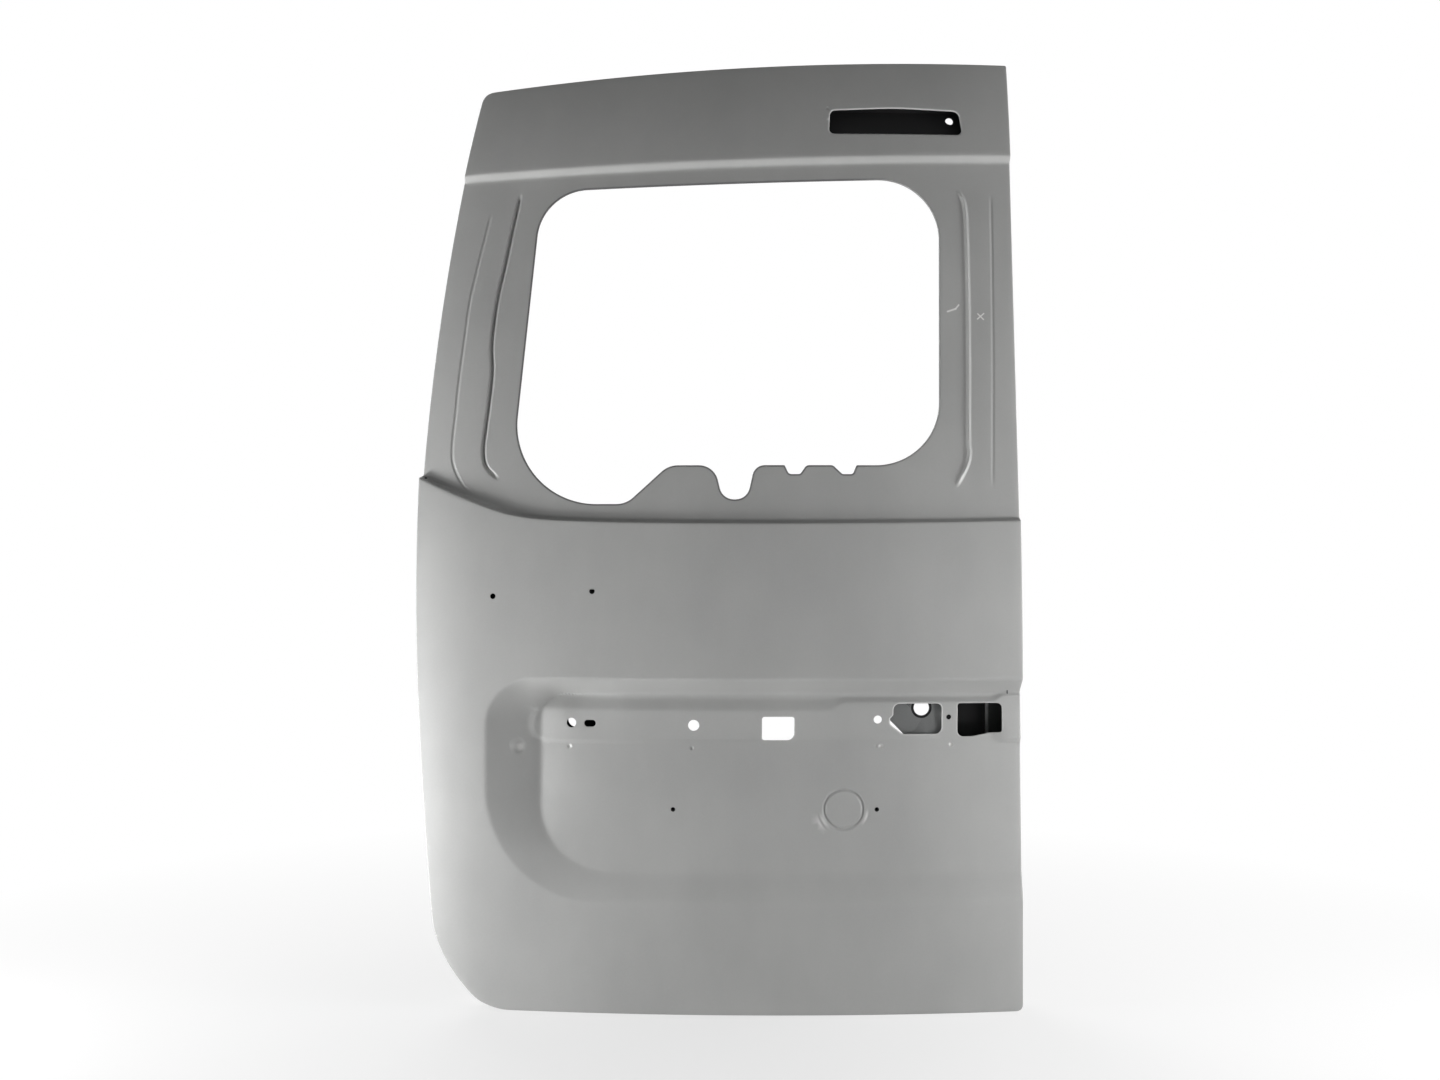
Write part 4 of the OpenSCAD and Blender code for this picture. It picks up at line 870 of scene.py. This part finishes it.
def skin_points():
    """Points of the skin besides its outlines, denser along every form.

    A plain grid is cleared round each form, and lines that follow the form take
    its place there.
    """
    rows = stepped([(6, 130, 8), (130, 410, 7), (410, 590, 8), (600, 1040, 8), (1050, 1176, 7)])
    cols = stepped([(0.012, 0.1, 0.009), (0.1, 0.9, 0.0105), (0.9, 0.99, 0.009)])
    base = coons(cols, rows)
    lines = []
    x = np.arange(-372, MEETING_X - 2, 5.0)
    for t in (-0.35, 0, 0.15, 0.3, 0.5, 0.7, 0.85, 1, 1.35):
        lines.append(inside(np.stack([x, belt_line(x) + LEDGE_H * t], 1)))
        lines.append(inside(np.stack([x, header_line(x) + HEADER_LEDGE_H * (t - 0.5)], 1)))
    keep_off = [(np.stack([x, belt_line(x) + 2.5], 1), 7.5, False),
                (np.stack([x, header_line(x)], 1), 8.5, False)]
    for contours, reach in ((recess_contours(), 3.2), (pad_contours(), 2.0)):
        lines += contours
        keep_off += [(line, reach, False) for line in contours]
    for line, (_, half, _) in zip(SWAGE_LINES, SWAGES):
        along = np.gradient(line, axis=0)
        along /= np.hypot(*along.T)[:, None]
        across = np.stack([-along[:, 1], along[:, 0]], 1)
        lines += [line + across * half * f for f in SWAGE_ACROSS]
        keep_off.append((line, half * 1.6, False))
    for loop, r in LIPS:
        for d in (0.1, 0.35, 0.7, 1.0, 1.6):
            lines.append(grown(loop, r * d))
        lines.append(grown(loop, r + 3.0))
        keep_off.append((loop, r + 4.5, True))
    for cx, cz, r in SKIN_HOLES:
        lines += [circle(cx, cz, r + d, 24) for d in (0.4, 1.8, 4.2)]
        keep_off.append((circle(cx, cz, r, 24), 6.0, True))
    for cx, cz, r, _ in DIMPLES + [CONE]:
        lines += [circle(cx, cz, r * f, 16) for f in (0.3, 0.55, 0.8, 0.95, 1.1, 1.6)]
        lines.append(np.array([[cx, cz]]))
        keep_off.append((circle(cx, cz, r, 16), r + 2.5, True))
    lines += [circle(DISC_X, DISC_Z, 20 + 0.85 * k, 90) for k in range(18)]
    keep_off.append((circle(DISC_X, DISC_Z, 27, 60), 10.0, True))
    extra = np.concatenate(lines)
    close = [(np.concatenate([loop, loop[:1]]), 0.12, False) for loop, _ in LIPS]
    rims = [(inset(FOLD_D), 1.2, True)]
    rims += [(circle(cx, cz, r, 24), 0.3, True) for cx, cz, r in SKIN_HOLES]
    base = clear_of(base, keep_off + [(inset(FOLD_D), 3.5, True)])
    extra = clear_of(thinned(extra, 0.4), close + rims)
    x, z = extra.T
    within = (x > hinge_edge(np.clip(z, LEFT_FOOT, LEFT_TOP)) + 2.5) & (x < MEETING_X - 2.5)
    within &= (z > foot_line(x) + 2.5) & (z < top_line(x) - 2.5)
    return np.concatenate([base, extra[within]])


def hem_rings(loop_face):
    """Rings of the folded edge: round the fold, over the hem and back under it."""
    total = HEM_Y + SHEET_T
    half = total / 2
    rings = []
    for d, dy in ((0.5, 0.35), (0.12, 0.9), (0.0, half), (0.12, total - 0.9), (0.5, total - 0.35),
                  (FOLD_D, total), (HEM_W - 0.3, total), (HEM_W, total - 0.3), (HEM_W, HEM_Y),
                  (1.6, HEM_Y), (1.3, half + 0.1)):
        flat = inset(d)
        y = loop_face if d < 2 else bare_face(*inset(d).T)
        rings.append(np.stack([flat[:, 0], y + dy, flat[:, 1]], 1))
    return rings


def outer_skin():
    """Hemmed outer skin: one sheet with its holes, and its edge folded over the inner panel."""
    loops = [inset(FOLD_D), WINDOW, LAMP, HANDLE, GRIP, LEAD, TRIM_SLOT]
    loops += [circle(cx, cz, r, 24) for cx, cz, r in SKIN_HOLES]
    flat, tris, places = triangulated(loops, skin_points())
    face = skin_face(flat[:, 0], flat[:, 1])
    points, all_tris, kinds = pressed_sheet(flat, tris, places, face, hem_rings(face[places[0]]))
    # The skin's back is painted black as shade; its front carries painted highlights and shade by
    # point
    piece = new_piece("outer_skin_pressing", points, all_tris, [PRIMER, SHADE_BLACK],
                      (kinds == 1).astype(int), painted_light_of(flat[:, 0], flat[:, 1]))
    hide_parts("outer_skin")


# Handle plate: hole (x, z, radius), widths of its ring and rim painted black as shade, x left of which
# the rim is painted, height of its step
PLATE_HOLE, PLATE_RING, PLATE_RIM, PLATE_DARK_X, PLATE_STEP = (246.2, 366.0, 9.5), 3.2, 5.0, 236.0, 8.0


def handle_plate():
    """Plate behind the handle aperture: a foot on the skin, a step of 8 mm and a flat with one hole.

    Its lower left corner is cut away in a curve. The rim of that cut and the
    ring round the hole are painted black as shade, and its primer is darker, painted shade.
    """
    low = PAD_H - 41
    outline = rounded([(203.5, low + 74, 4), (203.5, low + 50, 6), (229, low + 24, 14),
                       (231, low, 2), (283.5, low, 3), (283.5, low + 32, 6), (274, low + 42, 4),
                       (274, low + 74, 4)], 1.6)
    hole = circle(*PLATE_HOLE, 40)
    grid_x, grid_z = np.meshgrid(np.arange(205, 283, 2.5), np.arange(low + 1, low + 73, 2.2))
    points = np.stack([grid_x.ravel(), grid_z.ravel()], 1)
    d, side, _ = to_line(points[:, 0], points[:, 1], outline, 500, True)
    points = clear_of(points[(d > 1) & (side < 0)], [(hole, 1.0, True)])
    hole_x, hole_z, hole_r = PLATE_HOLE
    off_hole = np.hypot(points[:, 0] - hole_x, points[:, 1] - hole_z) > hole_r + 0.8
    points = np.concatenate([points[off_hole], circle(hole_x, hole_z, hole_r + PLATE_RING, 40)])
    flat, tris, places = triangulated([outline, hole], thinned(points, 0.5))
    x, z = flat.T
    foot = bare_face(x, np.minimum(z, low + 10)) + SHEET_T + 2 * SHEET_GAP
    face = foot + PLATE_STEP * eased((z - low - 10) / 7, 0.35)
    points, all_tris, kinds = pressed_sheet(flat, tris, places, face)
    x, z = flat[tris].mean(1).T
    ring = np.hypot(x - hole_x, z - hole_z) < hole_r + PLATE_RING
    rim = to_line(x, z, outline, PLATE_RIM + 1, True)[0] < PLATE_RIM
    # Painted shade: the ring round the hole and the rim left of PLATE_DARK_X are black
    kinds[:len(tris)][ring | (rim & (x < PLATE_DARK_X))] = 1
    piece = new_piece("handle_plate", points, all_tris, [HANDLE_SHADED_GREY, SHADE_BLACK],
                      (kinds == 1).astype(int))
    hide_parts("handle_reinforcement")


# Openings of the inner panel: left, low, width, height, corner radius
PANEL_OPENINGS = [(183.5, 315, 82, 68, 12), (40, 309, 65, 54, 8), (-140, 430, 250, 115, 30),
                  (-214.5, 65, 125, 135, 25), (-62.5, 65, 125, 135, 25), (89.5, 65, 125, 135, 25)]
# Round holes of the inner panel: x, z, radius
PANEL_HOLES = [(-180, 347.5, 9), (-33, 340, 15), (298, 1116, 8)]
# Bores of its hinge and meeting walls: z, depth, radius; and of its top and foot: x, depth, radius
HINGE_BORES = [(h + s, y, r) for h, p, y, r in ((545, 25, 79.09, 5), (190, 25, 63.32, 5),
                                                (370, 17, 64.78, 4)) for s in (-p, p)]
LOCK_BORES = [(325, 56.25, 4), (385, 56.25, 4)]
TOP_BORES, FOOT_BORES = ([(x, y, 3) for x in (258.5, 296.5)] for y in (132.81, 24.49))
WINDOW_FLANGE, WINDOW_WALL = 15.0, 14.0
BEND_R, EDGE_R, WALL_FROM, WALL_TO, WALL_END = 2.5, 0.9, 12.0, 14.5, 15.4
WALL_RINGS = np.array([9.5, 10.3, 11.0, 11.5, 11.8, 12.0, 12.6, 13.25, 13.9, 14.5, 14.7, 15.0,
                       15.4])
BORDER_W, BORDER_EDGE, BORDER_T, BORDER_LIP, WINDOW_LIP, FRAME_R = 12.5, 5.0, 2.2, 1.4, 1.6, 80.0
BORDER_LINES = (0.5, BORDER_LIP, 4.5, 7.5, 8.7, 10, 11.3, BORDER_W, 15)
FRAME_LINES = (13, 15, 16, 17.4, 19, 22, 25, 26.6, 28, 29, 31)


def off_window(x, z):
    """Signed distance to the window's plain outline, without its ramp and dips."""
    left, right, high = window_left_x(z), window_right_x(z), window_top_z(x)
    qx = np.abs(x - (left + right) / 2) - (right - left) / 2 + FRAME_R
    qz = np.abs(z - (WINDOW_LOW + high) / 2) - (high - WINDOW_LOW) / 2 + FRAME_R
    within = np.minimum(np.maximum(qx, qz), 0)
    return np.hypot(np.maximum(qx, 0), np.maximum(qz, 0)) + within - FRAME_R


def panel_main(x, z):
    """Depth of the inner panel's main face: the box under the belt and the frame over it."""
    box = BOX_D + lower_lean(z)
    share = np.clip((z - BELT_H + 30) / 80, 0, 1)
    return plan(x) + box + (FRAME_D + window_lean(z) - box) * share


def seat(x, z):
    """Depth of the inner panel where it lies on the skin."""
    return bare_face(x, z) + SHEET_T + SHEET_GAP


def wall_profile(d, height):
    """Rise of the panel at distance d from the rim: an arc, the steep wall, and a tight arc."""
    low = BEND_R - np.sqrt(BEND_R ** 2 - np.clip(d - WALL_FROM + BEND_R, 0, BEND_R) ** 2)
    high = EDGE_R - np.sqrt(EDGE_R ** 2 - np.clip(WALL_END - d, 0, EDGE_R) ** 2)
    share = np.clip((d - WALL_FROM) / (WALL_TO - WALL_FROM), 0, 1)
    wall = BEND_R + (height - BEND_R - EDGE_R) * share
    return np.where(d < WALL_FROM, low, np.where(d < WALL_TO, wall, height - high))


def panel_face(x, z):
    """Depth of the inner panel on its side towards the skin.

    It lies on the skin along the rim and round the window, rises over the wall,
    and sinks by a shallow step round each opening.
    """
    d, _, _ = to_line(x, z, OUTLINE, 24, True)
    ring = WALL_RINGS[np.abs(d[:, None] - WALL_RINGS).argmin(1)]
    d = np.where(np.abs(d - ring) < 0.05, ring, d)
    main = panel_main(x, z)
    for loop in PANEL_LOOPS:
        off, _, _ = to_line(x, z, loop, BORDER_W + 1, True)
        main = main - BORDER_T * eased((BORDER_W - off) / BORDER_EDGE, 0.35) - lip(off, BORDER_LIP)
    share = eased((off_window(x, z) - WINDOW_FLANGE) / WINDOW_WALL, 0.2)
    off, _, _ = to_line(x, z, WINDOW, WINDOW_LIP, True)
    base = seat(x, z)
    rise = wall_profile(d, (main - base) * share + 1e-3) * np.where(share > 0, 1, 0)
    return base + rise + lip(off, WINDOW_LIP)


PANEL_LOOPS = [rounded([(x, z, r), (x + w, z, r), (x + w, z + h, r), (x, z + h, r)], 3.0)
               for x, z, w, h, r in PANEL_OPENINGS]


def wall_bore(along, depth, r, place):
    """Round bore through a side wall, as its thin outline seen from the front.

    place(t, d) gives the point of the sheet at t along the wall and d from the rim.
    """
    turn = np.linspace(0, 2 * math.pi, 16, endpoint=False)
    t, y = along + r * np.cos(turn), depth + r * np.sin(turn)
    x, z = place(t, np.full(len(t), 13.3))
    base, main = seat(x, z), panel_main(x, z)
    d = WALL_FROM + (WALL_TO - WALL_FROM) * (y - base - BEND_R) / (main - base - BEND_R - EDGE_R)
    return np.stack(place(t, d), 1)


def window_frame(d, r, step, least):
    """Window's plain outline moved outwards by d, with corners of radius r."""
    left_low, right_low = window_left_x(WINDOW_LOW) - d, window_right_x(WINDOW_LOW) + d
    left_high, right_high = window_left_x(WINDOW_HIGH) - d, window_right_x(WINDOW_HIGH) + d
    return rounded([(left_low, WINDOW_LOW - d, r), (right_low, WINDOW_LOW - d, r),
                    (right_high, window_top_z(268) + d, r),
                    (left_high, window_top_z(-261) + d, r)], step, least)


# Line along the middle of the window frame, where the panel's plain grid is cleared
FRAME_MIDDLE = rounded([(-261, 595, 96), (270, 595, 96), (278, 1044, 96), (-222, 1033, 96)], 8)


def inner_panel():
    """Pressed inner panel: flange, side walls, window frame, openings, holes and bores."""
    def hinge_wall(z, d):
        """Point at d from the hinge edge, which slopes by (z - 560) / 4600 there."""
        return hinge_edge(z) + d * np.sqrt(1 + ((z - 560) / 4600) ** 2), z

    bores = [wall_bore(*b, hinge_wall) for b in HINGE_BORES]
    bores += [wall_bore(*b, lambda z, d: (MEETING_X - d, z)) for b in LOCK_BORES]
    bores += [wall_bore(*b, lambda x, d: (x, top_line(x) - d)) for b in TOP_BORES]
    bores += [wall_bore(*b, lambda x, d: (x, d)) for b in FOOT_BORES]
    holes = [circle(x, z, r, 32) for x, z, r in PANEL_HOLES]
    rim = inset(2.0)
    rings = [inset(d)[::2] for d in (4.5, 7.5, *WALL_RINGS, 17.0, 20.5)]
    frame_rings = [window_frame(d, FRAME_R + d, 6.0, 14) for d in FRAME_LINES]
    borders = [grown(loop, d) for loop in PANEL_LOOPS for d in BORDER_LINES]
    near_window = [grown(WINDOW, d) for d in (0.3, 0.9, 1.6, 6)]
    grid_x, grid_z = np.meshgrid(np.arange(-372, 366, 12.0), np.arange(4, 1178, 12.0))
    base = np.stack([grid_x.ravel(), grid_z.ravel()], 1)
    d, side, _ = to_line(base[:, 0], base[:, 1], OUTLINE, 3000, True)
    base = base[(d > 22) & (side > 0)]
    keep_off = [(FRAME_MIDDLE, 15, True), (WINDOW, 8, True)]
    keep_off += [(loop, 16, True) for loop in PANEL_LOOPS] + [(hole, 5, True) for hole in holes]
    base = clear_of(base, keep_off)
    forms = clear_of(thinned(np.concatenate(frame_rings + borders + near_window), 1.2),
                     [(WINDOW, 0.25, True)] + [(loop, 0.4, True) for loop in PANEL_LOOPS])
    d, side, _ = to_line(forms[:, 0], forms[:, 1], OUTLINE, 3000, True)
    forms = forms[(d > 22) & (side > 0)]
    around = [grown(hole, 2.5) for hole in holes]
    points = np.concatenate([base, forms, *rings, *around])
    points = clear_of(points, [(bore, 0.28, True) for bore in bores])
    flat, tris, places = triangulated([rim, WINDOW, *PANEL_LOOPS, *holes, *bores], points)
    points, all_tris, kinds = pressed_sheet(flat, tris, places, panel_face(flat[:, 0], flat[:, 1]))
    # The panel's side towards the skin is painted black as shade; its other side and edges are primer
    piece = new_piece("inner_panel_pressing", points, all_tris, [SHADE_BLACK, INNER_PRIMER],
                      (kinds > 0).astype(int))
    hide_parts("inner_panel")


outer_skin()
handle_plate()
inner_panel()

# Solids that are carried over
FINISHES = [
    (PRIMER, ["upper_hinge_plate", "lower_hinge_plate", "lock_plate", "check_strap_plate",
              "top_catch_plate", "bottom_catch_plate"]),
    (INNER_PRIMER, ["belt_reinforcement", "header_reinforcement", "hinge_side_reinforcement",
                    "anti_flutter_bar"]),
    # Painted shade: the lock side angle and the plate screw nuts are near black; the angle has a
    # painted highlight along its free edge
    (SHADED_ANGLE, ["lock_side_reinforcement"]),
    (ZINC, ["upper_hinge_nuts", "lower_hinge_nuts", "check_strap_nuts", "lock_nuts"]),
    (SHADED, ["plate_screw_nuts"]),
    # Painted shade: the lamp pocket is black
    (SHADE_BLACK, ["lamp_pocket"]),
    (MASTIC, ["mastic_pads"]),
]
for material, names in FINISHES:
    for name in names:
        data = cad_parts[name].data
        data.materials.clear()
        data.materials.append(material)

# The studio
CAMERA = np.array([0.0, -1800.0, 571.0])
WORLD_DIM, FLOOR_R, SHADOW_R, SHADOW_SHARE = 0.03, 30.0, 1.3, 0.4


def placed(point):
    """Point in door millimetres as a place in the scene."""
    return Vector((np.asarray(point, float) - ORIGIN) * MM)


camera = bpy.data.objects.new("camera", bpy.data.cameras.new("camera"))
camera.data.lens, camera.data.sensor_width = 37.5, 36.0
camera.data.clip_start, camera.data.clip_end = 0.05, 100
camera.location = placed(CAMERA)
camera.rotation_euler = (math.radians(90), 0, 0)
bpy.context.scene.collection.objects.link(camera)
bpy.context.scene.camera = camera


def soft_light(name, at, aim, width, height, watts):
    """Large plain lamp at one point, turned to another."""
    light = bpy.data.lights.new(name, "AREA")
    light.shape, light.size, light.size_y, light.energy = "RECTANGLE", width, height, watts
    lamp = bpy.data.objects.new(name, light)
    lamp.location = placed(at)
    lamp.rotation_euler = (placed(aim) - placed(at)).to_track_quat("-Z", "Y").to_euler()
    bpy.context.scene.collection.objects.link(lamp)


soft_light("key", (-1200, -250, 80), (0, 0, 450), 0.4, 0.16, 15.4)
soft_light("left_far", (-3000, -600, 300), (0, 0, 450), 0.5, 0.3, 23)
soft_light("right_low", (1100, -900, 80), (0, 0, 450), 0.4, 0.16, 4.2)
soft_light("right_front", (1100, -900, 600), (0, 0, 450), 0.4, 0.4, 1.0)
soft_light("right_mid", (1300, -250, 500), (0, 0, 450), 0.4, 0.4, 8.8)
soft_light("right_high", (1200, -250, 1400), (0, 0, 450), 0.4, 0.4, 1.5)
soft_light("back_left", (-900, 1900, 1500), (0, 0, 500), 1.6, 1.2, 30)
soft_light("back_right", (1300, 1700, 500), (0, 0, 500), 1.2, 1.2, 14)


def shown(tree):
    """1 on rays from the camera, off gloss or through glass, which see the background as white."""
    rays = tree.nodes.new("ShaderNodeLightPath")
    camera_ray, glossy_ray, glass_ray = (Sum(tree, rays.outputs[f"Is {kind} Ray"])
                                         for kind in ("Camera", "Glossy", "Transmission"))
    return (camera_ray + glossy_ray + glass_ray).clamped()


world = bpy.data.worlds.new("studio")
bpy.context.scene.world = world
world.use_nodes = True
tree = world.node_tree
background = tree.nodes["Background"]
background.inputs["Color"].default_value = (1, 1, 1, 1)
tree.links.new((WORLD_DIM + shown(tree) * (1 - WORLD_DIM)).socket, background.inputs["Strength"])

floor_mesh = bpy.data.meshes.new("floor")
floor_mesh.from_pydata([(-FLOOR_R, -FLOOR_R, 0), (FLOOR_R, -FLOOR_R, 0), (FLOOR_R, FLOOR_R, 0),
                        (-FLOOR_R, FLOOR_R, 0)], [], [(0, 1, 2, 3)])
floor = bpy.data.objects.new("floor", floor_mesh)
floor.location = (0, 0, -ORIGIN_Z * MM - 0.0005)
bpy.context.scene.collection.objects.link(floor)
pale = Finish("pale_floor")
pale.tree.nodes.remove(pale.shader)
white = pale.kit.node("ShaderNodeEmission", Color=(1, 1, 1, 1), Strength=1.0)
matt = pale.kit.node("ShaderNodeBsdfDiffuse", Color=(0.86, 0.86, 0.86, 1))
off_x, off_y = pale.x - 0.37, pale.y + 0.05
near = (1.0 - (off_x * off_x + off_y * off_y).root() * (1 / SHADOW_R)).clamped()
mixed = pale.kit.node("ShaderNodeMixShader", i0=shown(pale.tree) * (1.0 - near * SHADOW_SHARE))
pale.tree.links.new(matt.outputs[0], mixed.inputs[1])
pale.tree.links.new(white.outputs[0], mixed.inputs[2])
pale.tree.links.new(mixed.outputs[0], pale.tree.nodes["Material Output"].inputs["Surface"])
floor_mesh.materials.append(pale.material)

bpy.context.scene.view_settings.view_transform = "Standard"
